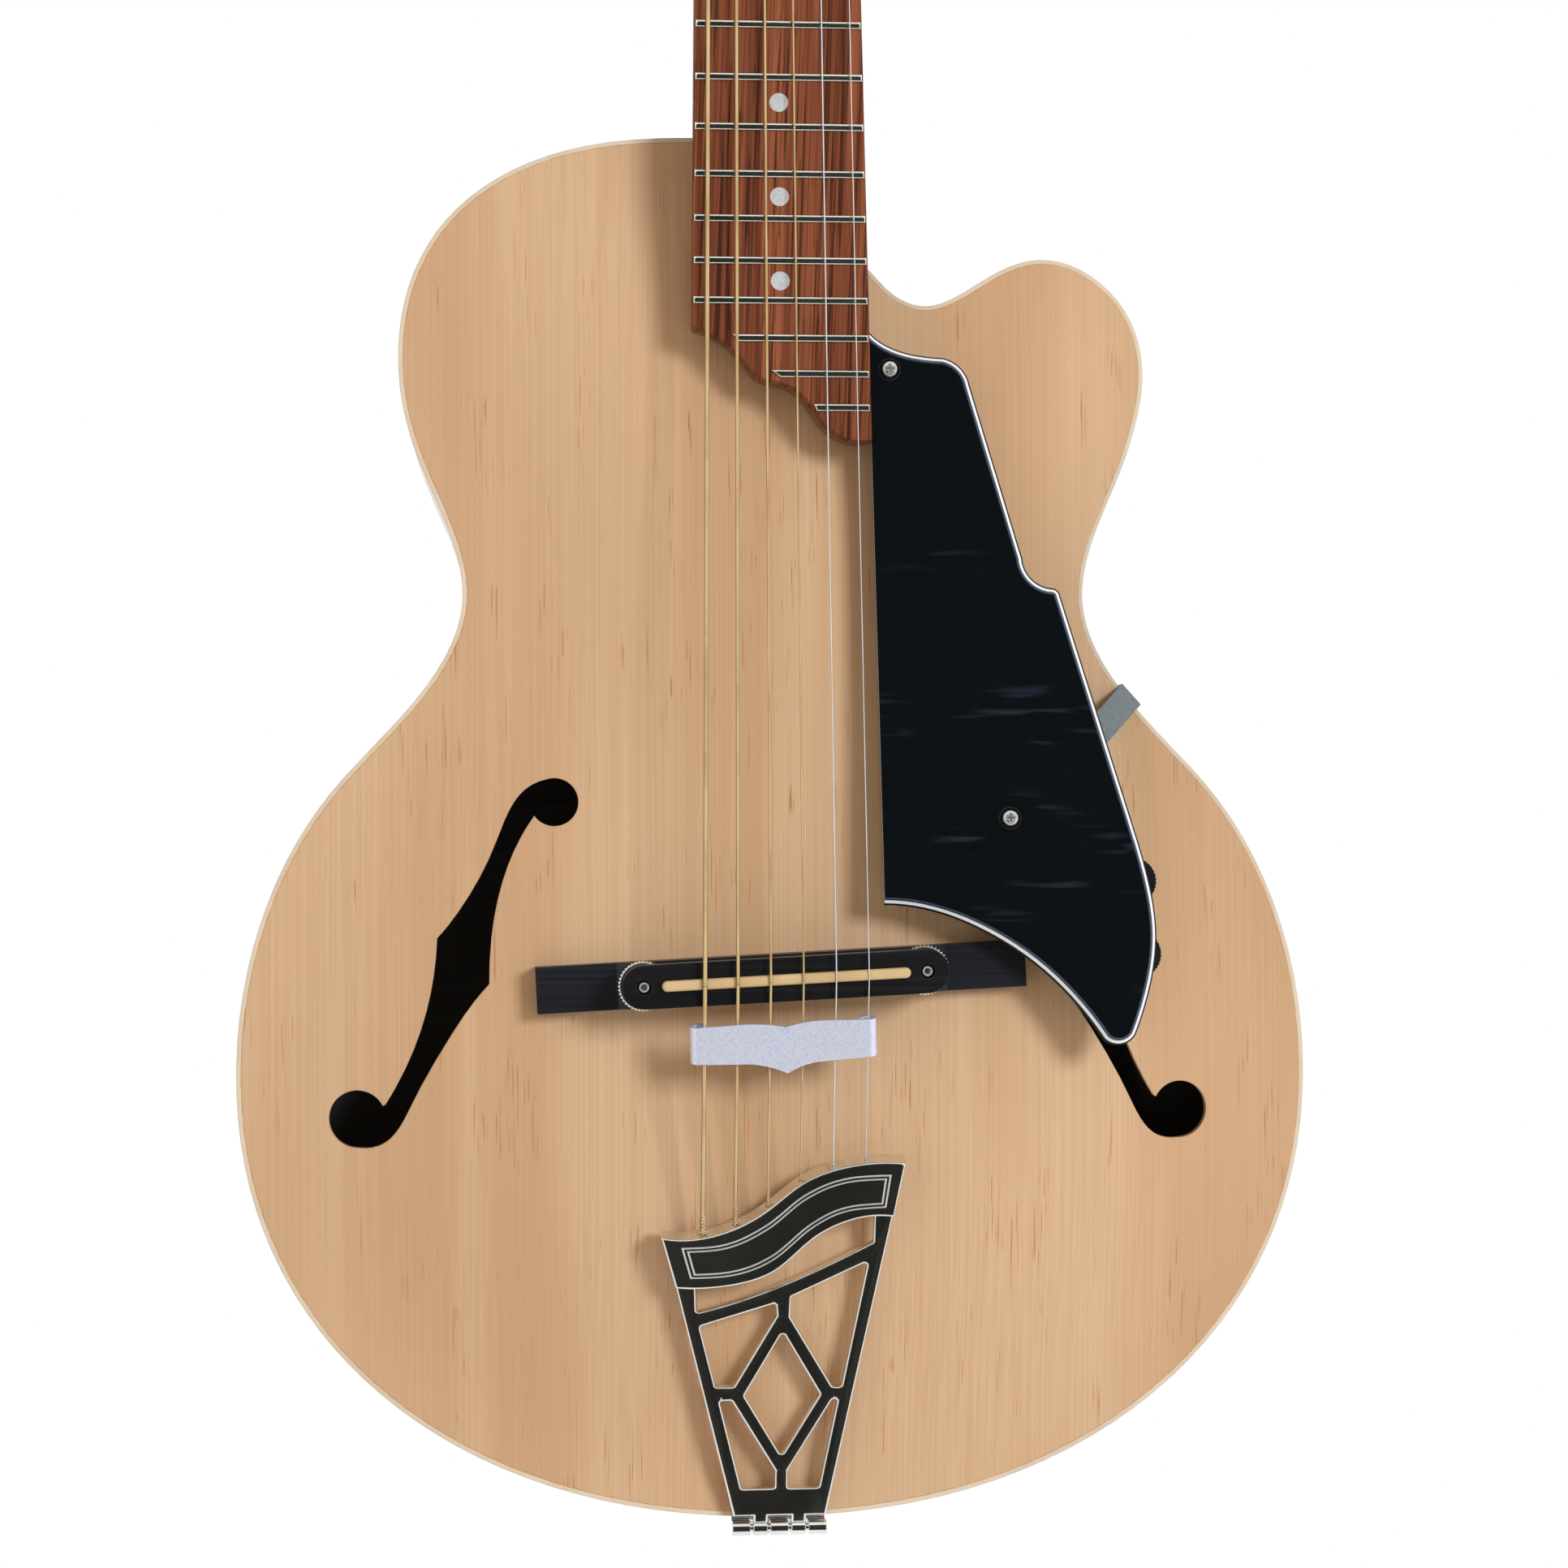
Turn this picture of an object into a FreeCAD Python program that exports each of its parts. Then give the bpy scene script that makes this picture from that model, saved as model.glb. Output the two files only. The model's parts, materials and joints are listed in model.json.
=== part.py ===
import FreeCAD, Part
import math
import os

from FreeCAD import Placement, Rotation
from FreeCAD import Vector as V

# Archtop guitar with a single cutaway, one solid per piece, in millimetres.
# The pieces are drawn with X towards the treble side, Z up from the saddle line to the headstock
# and Y from the front edge of the rim to the back. They are then moved so that the origin lies
# where a wall hanger carries the neck, under the wings of the headstock.

# Strings
SCALE_LENGTH = 628.0
STRING_DIAMETERS = (1.35, 1.07, 0.81, 0.61, 0.43, 0.33)
SPREAD_AT_NUT = 37.3
SPREAD_AT_BRIDGE = 50.0
STRING_PITCH_DEG = 3.4
STRING_GAP = 0.3
STRING_END_GAP = 0.4
STRING_HEIGHT_AT_NUT = 2.0
STRING_HEIGHT_AT_TWELFTH = 3.6
SADDLE_CROWN = 43.3
BALL_RADIUS = 2.0
BALL_LENGTH = 3.6
BALL_TO_BAR_TOP = 12.0
BALL_CLEARANCE = 0.3
STRING_HOLE_CLEARANCE = 0.4

# Body outline
LOWER_BOUT = 338.8
LOWER_BOUT_Z = -29.0
LOWER_BOUT_SQUARENESS = 2.15
WAIST = 197.2
WAIST_Z = 119.3
UPPER_BOUT = 237.0
UPPER_BOUT_Z = 193.0
SHOULDER_SQUARENESS = 2.35
TAIL_Z = -170.3
SHOULDER_Z = 266.2
HEEL_SEAT_HALF = 26.0
HORN_TIP = (85.6, 228.6)
CUTAWAY_LOW = (48.5, 213.4)
CUTAWAY_END = (29.8, 225.5)

# Body shell
RIM_DEPTH = 66.0
RIM_WALL = 2.8
PLATE_THICKNESS = 3.2
TOP_ARCH = 17.0
BACK_ARCH = 14.0
ARCH_RUN = 85.0
ARCH_EDGE_LAND = 3.0
ARCH_GRID = 13.0
PLATE_GLUE_LAND = 16.0
BINDING_WIDTH = 1.4
BINDING_HEIGHT = 5.5
LINING_WIDTH = 6.0
LINING_HEIGHT = 12.0
NECK_BLOCK_LENGTH = 42.0
NECK_BLOCK_BASS = 32.0
TAIL_BLOCK_WIDTH = 60.0
TAIL_BLOCK_LENGTH = 20.0
TONE_BAR_X = 38.0
TONE_BAR_WIDTH = 8.0
TONE_BAR_TOP_Z = 110.0
TONE_BAR_BOTTOM_Z = -90.0

# Sound holes, as the eyes' places and the stem's points: share of the way between the eyes, mm across
F_UPPER_EYE = (70.1, 55.6)
F_UPPER_RADIUS = 7.5
F_LOWER_EYE = (131.5, -43.0)
F_LOWER_RADIUS = 9.0
F_TREBLE_SHIFT = (-3.7, 0.5)
F_OUTER_UPPER = ((-0.055, 3.96), (0.016, 9.94), (0.186, 8.58), (0.381, 7.31), (0.475, 8.62))
F_OUTER_LOWER = ((0.475, 8.62), (0.639, 0.06), (0.926, -4.98))
F_INNER_LOWER = ((1.066, -4.76), (1.01, -11.34), (0.882, -11.83), (0.692, -10.93), (0.505, -12.63))
F_INNER_UPPER = ((0.505, -12.63), (0.378, -4.6), (0.216, 1.7), (0.053, 2.97))

# Neck and fretboard
FRET_COUNT = 22
BOARD_THICKNESS = 6.0
BOARD_WIDTH_AT_NUT = 42.5
BOARD_WIDTH_AT_END = 56.0
BOARD_END_BASS = 426.6
BOARD_END_TREBLE = 461.6
BOARD_END_STEPS = ((-0.74, 0.07), (-0.44, 0.27), (-0.25, 0.44), (0.04, 0.5),
                   (0.3, 0.66), (0.53, 0.9), (0.78, 1.0))
FRET_WIDTH = 2.3
FRET_HEIGHT = 1.1
FRET_END_INSET = 0.4
CUT_FRETS = {20: (-15.0, 2.1), 21: (-3.2, 3.0), 22: (10.0, 1.0)}
DOT_RADIUS = 2.95
DOT_DEPTH = 1.5
SINGLE_DOT_FRETS = (3, 5, 7, 9, 15, 17, 19)
DOUBLE_DOT_FRET = 12
DOUBLE_DOT_X = 10.0
SIDE_DOT_RADIUS = 1.0
NECK_DEPTH_AT_NUT = 15.5
NECK_DEPTH_AT_HEEL = 17.5
EXTENSION_THICKNESS = 8.0
EXTENSION_INSET = 0.8
HEEL_WIDTH_TOP = 50.0
HEEL_WIDTH_END = 26.0
HEEL_REACH_TOP = 52.0
HEEL_REACH_MIDDLE = 26.0
HEEL_REACH_END = 15.0
HEEL_CAP_THICKNESS = 2.0
TENON_WIDTH_OUT = 30.0
TENON_WIDTH_IN = 38.0
TENON_LENGTH = 28.0
TENON_DEPTH = 50.0
NUT_THICKNESS = 5.0
NUT_DEPTH = 3.0
NUT_BREAK = 2.4
NUT_CROWN = 2.7
NUT_SLOT_SPARE = 0.6
ROD_RADIUS = 2.0
ROD_CHANNEL_WIDTH = 5.0
ROD_CHANNEL_DEPTH = 6.5
ROD_OVER_NUT = 14.0
ROD_NUT_RADIUS = 3.0
ROD_NUT_LENGTH = 14.0
ROD_NUT_START = 8.0
ROD_KEY_RADIUS = 1.7
ROD_CLEARANCE = 0.05

# Headstock and tuning machines
HEAD_ANGLE_DEG = 13.0
HEAD_LENGTH = 172.0
HEAD_THICKNESS = 14.0
HEAD_WIDTH_AT_NUT = 43.0
HEAD_WIDTH = 74.0
HEAD_WIDTH_AT_TOP = 66.0
HEAD_FLARE_Z = 44.0
HEAD_SIDE_TOP_Z = 152.0
FACE_THICKNESS = 2.0
POCKET_WIDTH = 13.0
POCKET_LENGTH = 32.0
POCKET_DEPTH = 10.5
COVER_WIDTH = 24.0
COVER_LENGTH = 44.0
COVER_THICKNESS = 1.2
COVER_SCREWS = ((-8.25, 6.0), (8.25, 6.0), (0.0, 40.0))
TUNER_FIRST_Z = 50.0
TUNER_SPACING = 40.0
TUNER_X = 22.0
POST_RADIUS = 3.0
POST_LENGTH_OVER_FACE = 19.0
BUSHING_RADIUS = 4.6
BUSHING_FLANGE_RADIUS = 6.5
BUSHING_FLANGE_HEIGHT = 1.6
RUNNING_CLEARANCE = 0.05
GEAR_RADIUS = 6.4
GEAR_THICKNESS = 3.4
WORM_RADIUS = 2.6
WORM_LENGTH = 9.0
GEAR_CLEARANCE = 0.3
WORM_SHAFT_RADIUS = 1.9
HOUSING_WALL = 1.6
HOUSING_DEPTH = 9.0
HOUSING_ROOM = 0.7
BUTTON_LENGTH = 18.0
BUTTON_WIDTH = 13.0
BUTTON_THICKNESS = 6.0
BUTTON_GAP = 5.0
GEAR_TEETH = 15
WINDING_TURNS = 3
WINDING_SPACE = 0.5
WINDING_CLEARANCE = 0.3
WINDING_OVER_FACE = 4.2

# Pickguard, bracket and controls; the outline is in the pickguard's own plane
GUARD_THICKNESS = 3.0
GUARD_BELOW_BOARD = 3.0
GUARD_TOP = (27.6, 202.3)
GUARD_SHOULDER = (51.0, 193.9)
GUARD_SHOULDER_END = (59.4, 185.2)
GUARD_STEP = (75.2, 131.0)
GUARD_STEP_END = (84.2, 121.8)
GUARD_CORNER = (87.0, 119.2)
GUARD_SIDE_END = (107.2, 52.9)
GUARD_WIDEST = (115.5, 13.9)
GUARD_TIP_RIGHT = (108.5, -16.9)
GUARD_TIP_LEFT = (98.5, -18.3)
GUARD_FOOT = (30.9, 23.6)
GUARD_SCREWS = ((34.0, 189.7), (70.0, 50.1))
SCREW_HEAD_RADIUS = 2.5
SCREW_HEAD_HEIGHT = 1.2
SCREW_SHANK_RADIUS = 1.4
SCREW_LENGTH = 7.0
SUPPORT_WIDTH = 14.0
SUPPORT_LENGTH = 16.0
SUPPORT_OVER_SCREW = 3.0
SUPPORT_THICKNESS = 7.0
BRACKET_WIDTH = 9.0
BRACKET_THICKNESS = 1.2
BRACKET_BEND = 30.0
BRACKET_TAIL = 6.5
BRACKET_DROP = 15.0
BRACKET_RIM_GAP = 0.5
BRACKET_SEAT_GAP = 0.25
BRACKET_HEADING_DEG = 41.8
CONTROL_CENTRES = ((108.6, 30.6), (109.8, 8.0))
CONTROL_RADIUS = 7.4
CONTROL_THICKNESS = 3.0
CONTROL_GAP = 0.6
CONTROL_RIB_COUNT = 36
CONTROL_GROOVE = 0.2
POT_RADIUS = 5.0
POT_HEIGHT = 6.0
POT_SHAFT_RADIUS = 2.0
BOARD_PLATE_THICKNESS = 1.6
STANDOFF_RADIUS = 2.5
STANDOFF_INSET = 17.0

# Bridge
BRIDGE_Z = 1.2
BRIDGE_SLANT_DEG = 2.84
BASE_LENGTH = 152.0
BASE_WIDTH = 14.4
BASE_TOP = 27.5
BASE_MIDDLE_LENGTH = 92.0
BASE_END_DROP = 3.2
BASE_RAMP = 5.0
POST_SPACING = 86.7
BRIDGE_POST_RADIUS = 1.8
POST_SINK = 5.0
WHEEL_RADIUS = 7.8
WHEEL_THICKNESS = 2.6
WHEEL_KNURLS = 40
KNURL_DEPTH = 0.35
SADDLE_TOP_FRONT = 41.0
SADDLE_TOP_THICKNESS = 8.0
SADDLE_TOP_WIDTH = 13.4
POST_HOLE_RADIUS = 2.2
POST_TIP_SINK = 0.6
SADDLE_LENGTH = 76.0
SADDLE_THICKNESS = 3.3
SADDLE_SLOT_DEPTH = 5.0
SADDLE_ROUND = 1.2
THREAD_PITCH = 0.7

# Tailpiece, in its own plane: Z runs from the hinge pin towards the saddle
HINGE_BELOW_TAIL = 2.8
HINGE_IN_FRONT = 3.2
BARREL_RADIUS = 2.3
PIN_RADIUS = 1.2
BARREL_HALF = 14.8
KNUCKLE_EDGES = (2.8, 3.6, 8.4, 9.2)
FRAME_THICKNESS = 2.6
FRAME_FOOT_HALF = 14.6
FRAME_FOOT_GAP = 2.1
FRAME_ARM = 6.0
BAR_THICKNESS = 8.0
BAR_UPPER = ((-38.0, 98.3), (-20.0, 99.3), (-6.6, 105.9), (5.7, 115.6), (19.0, 120.6), (37.1, 121.4))
BAR_LOWER = ((-33.4, 81.8), (-15.5, 82.4), (-3.0, 86.7), (9.3, 97.4), (19.5, 102.7), (33.9, 104.0))
RAIL_UPPER = ((-26.8, 72.6), (-9.0, 77.9), (8.9, 85.4), (27.8, 94.9))
WINDOW_ROUND = 0.8
WINDOWS = {
    "upper_left": ((-25.6, 68.0), (-2.2, 75.3), (-1.8, 71.3), (-15.0, 47.8), (-20.6, 47.9)),
    "upper_right": ((2.6, 77.3), (26.2, 88.6), (18.7, 47.4), (16.0, 47.4), (2.4, 70.9)),
    "diamond": ((0.1, 65.8), (12.0, 44.9), (0.3, 24.5), (-11.5, 44.9)),
    "lower_left": ((-19.3, 43.2), (-15.6, 43.2), (-1.7, 19.6), (-1.7, 13.6), (-12.1, 13.6)),
    "lower_right": ((16.0, 43.2), (17.6, 43.2), (12.2, 13.6), (2.4, 13.6), (2.4, 19.6)),
}
PLATE_METAL = 1.5
PLATE_LENGTH = 54.0
PLATE_START = 2.0
TAIL_SCREWS = ((-9.0, 12.0), (9.0, 12.0), (0.0, 50.0))
TAIL_SCREW_LENGTH = 16.0

# End pin with the output socket
END_PIN_Y = 31.0
END_PIN_BARREL_RADIUS = 6.0
END_PIN_INSIDE = 26.0
END_PIN_FLANGE_RADIUS = 9.0
END_PIN_FLANGE = 1.8
STRAP_NECK_RADIUS = 6.5
STRAP_NECK_LENGTH = 4.4
STRAP_HEAD_RADIUS = 8.5
STRAP_HEAD_LENGTH = 2.8
SOCKET_RADIUS = 3.25

# Clip across the string tails
CLIP_CENTRE = (-0.9, 159.7)
CLIP_TILT_DEG = 2.3
CLIP_HALF = 25.9
CLIP_THICKNESS = 1.1
CLIP_UPPER = ((-25.9, 6.0), (-12.0, 6.4), (0.6, 5.0), (12.0, 6.6), (25.9, 6.2))
CLIP_LOWER = ((-25.9, -5.6), (-10.0, -6.2), (0.9, -9.6), (10.0, -6.4), (25.9, -5.6))
CLIP_CURL_RADIUS = 2.6
CLIP_GAP = 0.05

# Places that follow from the sizes
STRING_COUNT = len(STRING_DIAMETERS)
OUT = 60.0
CREST_Y = -(SADDLE_CROWN + STRING_GAP + STRING_DIAMETERS[0] / 2)
NUT_STRING_Y = CREST_Y + SCALE_LENGTH * math.tan(math.radians(STRING_PITCH_DEG))
NUT_SURFACE_Y = NUT_STRING_Y + STRING_HEIGHT_AT_NUT
TWELFTH_SURFACE_Y = (CREST_Y + NUT_STRING_Y) / 2 + STRING_HEIGHT_AT_TWELFTH
BOARD_PITCH = math.degrees(math.atan((NUT_SURFACE_Y - TWELFTH_SURFACE_Y) / (SCALE_LENGTH / 2)))
X_AXIS = V(1, 0, 0)
BOARD = Placement(V(0, NUT_SURFACE_Y, SCALE_LENGTH), Rotation(X_AXIS, -BOARD_PITCH))
HEAD = BOARD * Placement(V(0, FACE_THICKNESS + 0.6, NUT_THICKNESS), Rotation(X_AXIS, -HEAD_ANGLE_DEG))
GUARD_Y = NUT_SURFACE_Y - SCALE_LENGTH * math.tan(math.radians(BOARD_PITCH)) + GUARD_BELOW_BOARD
GUARD = Placement(V(0, GUARD_Y, 0), Rotation(X_AXIS, -BOARD_PITCH))
BRIDGE = Placement(V(0, 0, BRIDGE_Z), Rotation(V(0, 1, 0), -BRIDGE_SLANT_DEG))
HINGE_Z = TAIL_Z - HINGE_BELOW_TAIL
FRAME_FOOT_Z = BARREL_RADIUS + FRAME_FOOT_GAP
HINGE_Y = -HINGE_IN_FRONT
TAIL_TILT = math.degrees(math.atan((HINGE_Y - CREST_Y) / (BRIDGE_Z - HINGE_Z)))
TAIL = Placement(V(0, HINGE_Y, HINGE_Z), Rotation(X_AXIS, TAIL_TILT))
HANGER = BOARD.multVec(V(0, BOARD_THICKNESS + NECK_DEPTH_AT_NUT / 2, 18.0))
NODE_NAMES = []


# Drawing helpers

def flat(points, y=0.0):
    """Points of an outline in the XZ plane at depth y."""
    return [V(x, y, z) for x, z in points]


def line(a, b):
    return Part.LineSegment(a, b).toShape()


def arc(a, b, c):
    return Part.Arc(a, b, c).toShape()


def curve(points, start=None, end=None):
    """A smooth curve through the points, with end tangents where they matter."""
    spline = Part.BSplineCurve()
    if start is None:
        spline.interpolate(Points=points)
    else:
        spline.interpolate(Points=points, InitialTangent=start, FinalTangent=end, Scale=False)
    return spline.toShape()


def polygon(points):
    return Part.makePolygon(points + points[:1])


def prism(wire, depth, front=0.0):
    """A solid from front to front + depth along Y, for a closed outline in the XZ plane."""
    face = Part.Face(wire)
    face.translate(V(0, front, 0))
    return face.extrude(V(0, depth, 0))


def block(x, y, z):
    """A box from its (low, high) pairs."""
    size = [high - low for low, high in (x, y, z)]
    return Part.makeBox(*size, V(x[0], y[0], z[0]))


def rod(start, end, radius):
    return Part.makeCylinder(radius, (end - start).Length, start, end - start)


def placed(shape, placement):
    copy = shape.copy()
    copy.Placement = placement.multiply(copy.Placement)
    return copy


def save(name, *solids):
    """Move the piece into the hanging frame and write it."""
    solids = [s for shape in solids for s in shape.Solids]
    for solid in solids:
        if not solid.isValid() or solid.Volume <= 0:
            print("bad solid in", name)
    shape = solids[0] if len(solids) == 1 else Part.makeCompound(solids)
    shape = shape.copy()
    shape.translate(-HANGER)
    shape.exportStep(f"parts/{name}.step")
    NODE_NAMES.append(name)


def string_x(index, spread):
    """Place of a string across the set, low string first."""
    return spread * (index / (STRING_COUNT - 1) - 0.5)


# Body outline

def bass_side_points():
    """From the tail's centre up the bass side to the heel seat."""
    lower, waist, upper = LOWER_BOUT / 2, WAIST / 2, UPPER_BOUT / 2
    points = []
    for degrees in (0, 14, 28, 43, 60, 76):
        a = math.radians(degrees)
        power = 2 / LOWER_BOUT_SQUARENESS
        x = lower * math.sin(a) ** power
        z = LOWER_BOUT_Z - (LOWER_BOUT_Z - TAIL_Z) * math.cos(a) ** power
        points.append((x, z))
    points.append((lower, LOWER_BOUT_Z))
    rise = WAIST_Z - LOWER_BOUT_Z
    for share, height in ((0.9, 0.306), (0.597, 0.584), (0.203, 0.792), (0.0, 1.0)):
        points.append((waist + share * (lower - waist), LOWER_BOUT_Z + height * rise))
    rise = UPPER_BOUT_Z - WAIST_Z
    for share, height in ((0.19, 0.28), (0.623, 0.56), (0.94, 0.84), (1.0, 1.0)):
        points.append((waist + share * (upper - waist), WAIST_Z + height * rise))
    return points


def shoulder_points():
    """From the upper bout over the bass shoulder to the heel seat."""
    points = []
    for degrees in (18, 36, 54, 72, 90):
        a = math.radians(degrees)
        power = 2 / SHOULDER_SQUARENESS
        x = HEEL_SEAT_HALF + (UPPER_BOUT / 2 - HEEL_SEAT_HALF) * math.cos(a) ** power
        if degrees == 90:
            x = HEEL_SEAT_HALF
        points.append((x, UPPER_BOUT_Z + (SHOULDER_Z - UPPER_BOUT_Z) * math.sin(a) ** power))
    return points


def horn_points():
    """From the upper bout over the horn into the cutaway."""
    upper = UPPER_BOUT / 2
    rise = HORN_TIP[1] - UPPER_BOUT_Z
    low_x, low_z = CUTAWAY_LOW
    return [
        (upper - 0.122 * (upper - HORN_TIP[0]), UPPER_BOUT_Z + 0.464 * rise),
        (upper - 0.471 * (upper - HORN_TIP[0]), UPPER_BOUT_Z + 0.837 * rise),
        HORN_TIP,
        (low_x + 0.633 * (HORN_TIP[0] - low_x), low_z + 0.737 * (HORN_TIP[1] - low_z)),
        (low_x + 0.31 * (HORN_TIP[0] - low_x), low_z + 0.263 * (HORN_TIP[1] - low_z)),
        CUTAWAY_LOW,
        (low_x + 0.535 * (CUTAWAY_END[0] - low_x), low_z + 0.281 * (CUTAWAY_END[1] - low_z)),
        CUTAWAY_END,
    ]


def side_curve(points, start, end, inset):
    """One side of the outline, moved inwards along its own normals."""
    spline = Part.BSplineCurve()
    spline.interpolate(Points=flat(points), InitialTangent=start, FinalTangent=end, Scale=False)
    if inset:
        marks = [spline.parameter(p) for p in flat(points)]
        marks += [(a + b) / 2 for a, b in zip(marks, marks[1:])]
        moved = []
        for mark in sorted(marks):
            t = spline.tangent(mark)[0]
            moved.append(spline.value(mark) + V(t.z, 0, -t.x) * inset)
        spline = Part.BSplineCurve()
        spline.interpolate(Points=moved, InitialTangent=start, FinalTangent=end, Scale=False)
    return spline.toShape()


def body_outline(inset=0.0):
    """The closed body outline, moved inwards by inset."""
    bass = [(-x, z) for x, z in bass_side_points() + shoulder_points()]
    treble = list(reversed(bass_side_points() + horn_points()))
    diagonal = V(1, 0, -1) / math.sqrt(2)
    bass_edge = side_curve(bass, V(-1, 0, 0), V(1, 0, 0), inset)
    treble_edge = side_curve(treble, diagonal, V(-1, 0, 0), inset)
    seat = HEEL_SEAT_HALF
    stub = CUTAWAY_END[0] - seat
    corner = V(seat - inset, 0, SHOULDER_Z - inset)
    notch = V(seat - inset, 0, CUTAWAY_END[1] + stub - (math.sqrt(2) - 1) * inset)
    first = bass_edge.Vertexes[-1].Point
    last = treble_edge.Vertexes[0].Point
    return Part.Wire([bass_edge, line(first, corner), line(corner, notch), line(notch, last), treble_edge])


def edge_distance(x, z, samples):
    """A smooth distance from the outline, the true one near an edge and without creases inside."""
    total = sum(step / ((x - px) ** 2 + (z - pz) ** 2 + 1e-6) ** 2 for px, pz, step in samples)
    return (2 * total / math.pi) ** (-1 / 3)


def is_inside(x, z, samples):
    inside = False
    for (ax, az, _), (bx, bz, _) in zip(samples, samples[1:] + samples[:1]):
        if (az > z) != (bz > z) and x < ax + (bx - ax) * (z - az) / (bz - az):
            inside = not inside
    return inside


def arch_heights():
    """Share of the full arch on a grid over the body: low at the edge, with a recurve, flat on top."""
    points = body_outline().discretize(Distance=4.0)
    samples = []
    for a, b in zip(points, points[1:]):
        middle = (a + b) / 2
        samples.append((middle.x, middle.z, (b - a).Length))
    margin = ARCH_GRID
    columns = int((LOWER_BOUT + 2 * margin) / ARCH_GRID) + 2
    rows = int((SHOULDER_Z - TAIL_Z + 2 * margin) / ARCH_GRID) + 2
    grid = []
    for i in range(columns):
        x = -LOWER_BOUT / 2 - margin + i * ARCH_GRID
        column = []
        for j in range(rows):
            z = TAIL_Z - margin + j * ARCH_GRID
            share = 0.0
            if is_inside(x, z, samples):
                share = (edge_distance(x, z, samples) - ARCH_EDGE_LAND) / ARCH_RUN
            share = min(1.0, max(0.0, share))
            column.append((x, z, share * share * (3 - 2 * share)))
        grid.append(column)
    return grid


def arch_face(grid, level, height):
    """A smooth arched face that leaves the plane Y = level by height."""
    surface = Part.BSplineSurface()
    surface.interpolate([[V(x, level + height * share, z) for x, z, share in column] for column in grid])
    return surface.toShape()


def sound_hole(side):
    """The tool that cuts one sound hole: two round eyes and the notched stem."""
    shift = V(F_TREBLE_SHIFT[0], 0, F_TREBLE_SHIFT[1]) if side > 0 else V()
    upper = V(side * F_UPPER_EYE[0], 0, F_UPPER_EYE[1]) + shift
    lower = V(side * F_LOWER_EYE[0], 0, F_LOWER_EYE[1]) + shift
    along = lower - upper
    across = V(side * abs(along.z), 0, abs(along.x)) / along.Length

    def place(points):
        return [upper + along * share + across * offset for share, offset in points]

    outer_upper, outer_lower = place(F_OUTER_UPPER), place(F_OUTER_LOWER)
    inner_lower, inner_upper = place(F_INNER_LOWER), place(F_INNER_UPPER)
    stem = Part.Wire([
        curve(outer_upper), curve(outer_lower),
        line(outer_lower[-1], lower), line(lower, inner_lower[0]),
        curve(inner_lower), curve(inner_upper),
        line(inner_upper[-1], upper), line(upper, outer_upper[0]),
    ])
    tools = [prism(stem, 2 * OUT, -OUT)]
    for centre, radius in ((upper, F_UPPER_RADIUS), (lower, F_LOWER_RADIUS)):
        tools.append(Part.makeCylinder(radius, 2 * OUT, centre - V(0, OUT, 0), V(0, 1, 0)))
    return tools


def tenon():
    """The dovetail that holds the neck in its block."""
    inner = SHOULDER_Z - TENON_LENGTH
    points = [
        (-TENON_WIDTH_OUT / 2, SHOULDER_Z), (TENON_WIDTH_OUT / 2, SHOULDER_Z),
        (TENON_WIDTH_IN / 2, inner), (-TENON_WIDTH_IN / 2, inner),
    ]
    under_extension = BOARD.multVec(V(0, BOARD_THICKNESS + EXTENSION_THICKNESS / 2, inner - SCALE_LENGTH)).y
    return prism(polygon(flat(points)), TENON_DEPTH - under_extension, under_extension)


def ring(outer, inner, low, high):
    """A band along the outline between two insets, from depth low to depth high."""
    face = Part.makeFace([body_outline(outer), body_outline(inner)], "Part::FaceMakerBullseye")
    face.translate(V(0, low, 0))
    return face.extrude(V(0, high - low, 0))


def end_pin_barrel(radius, length, start=0.0):
    return Part.makeCylinder(radius, length, V(0, END_PIN_Y, TAIL_Z - start), V(0, 0, 1))


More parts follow.
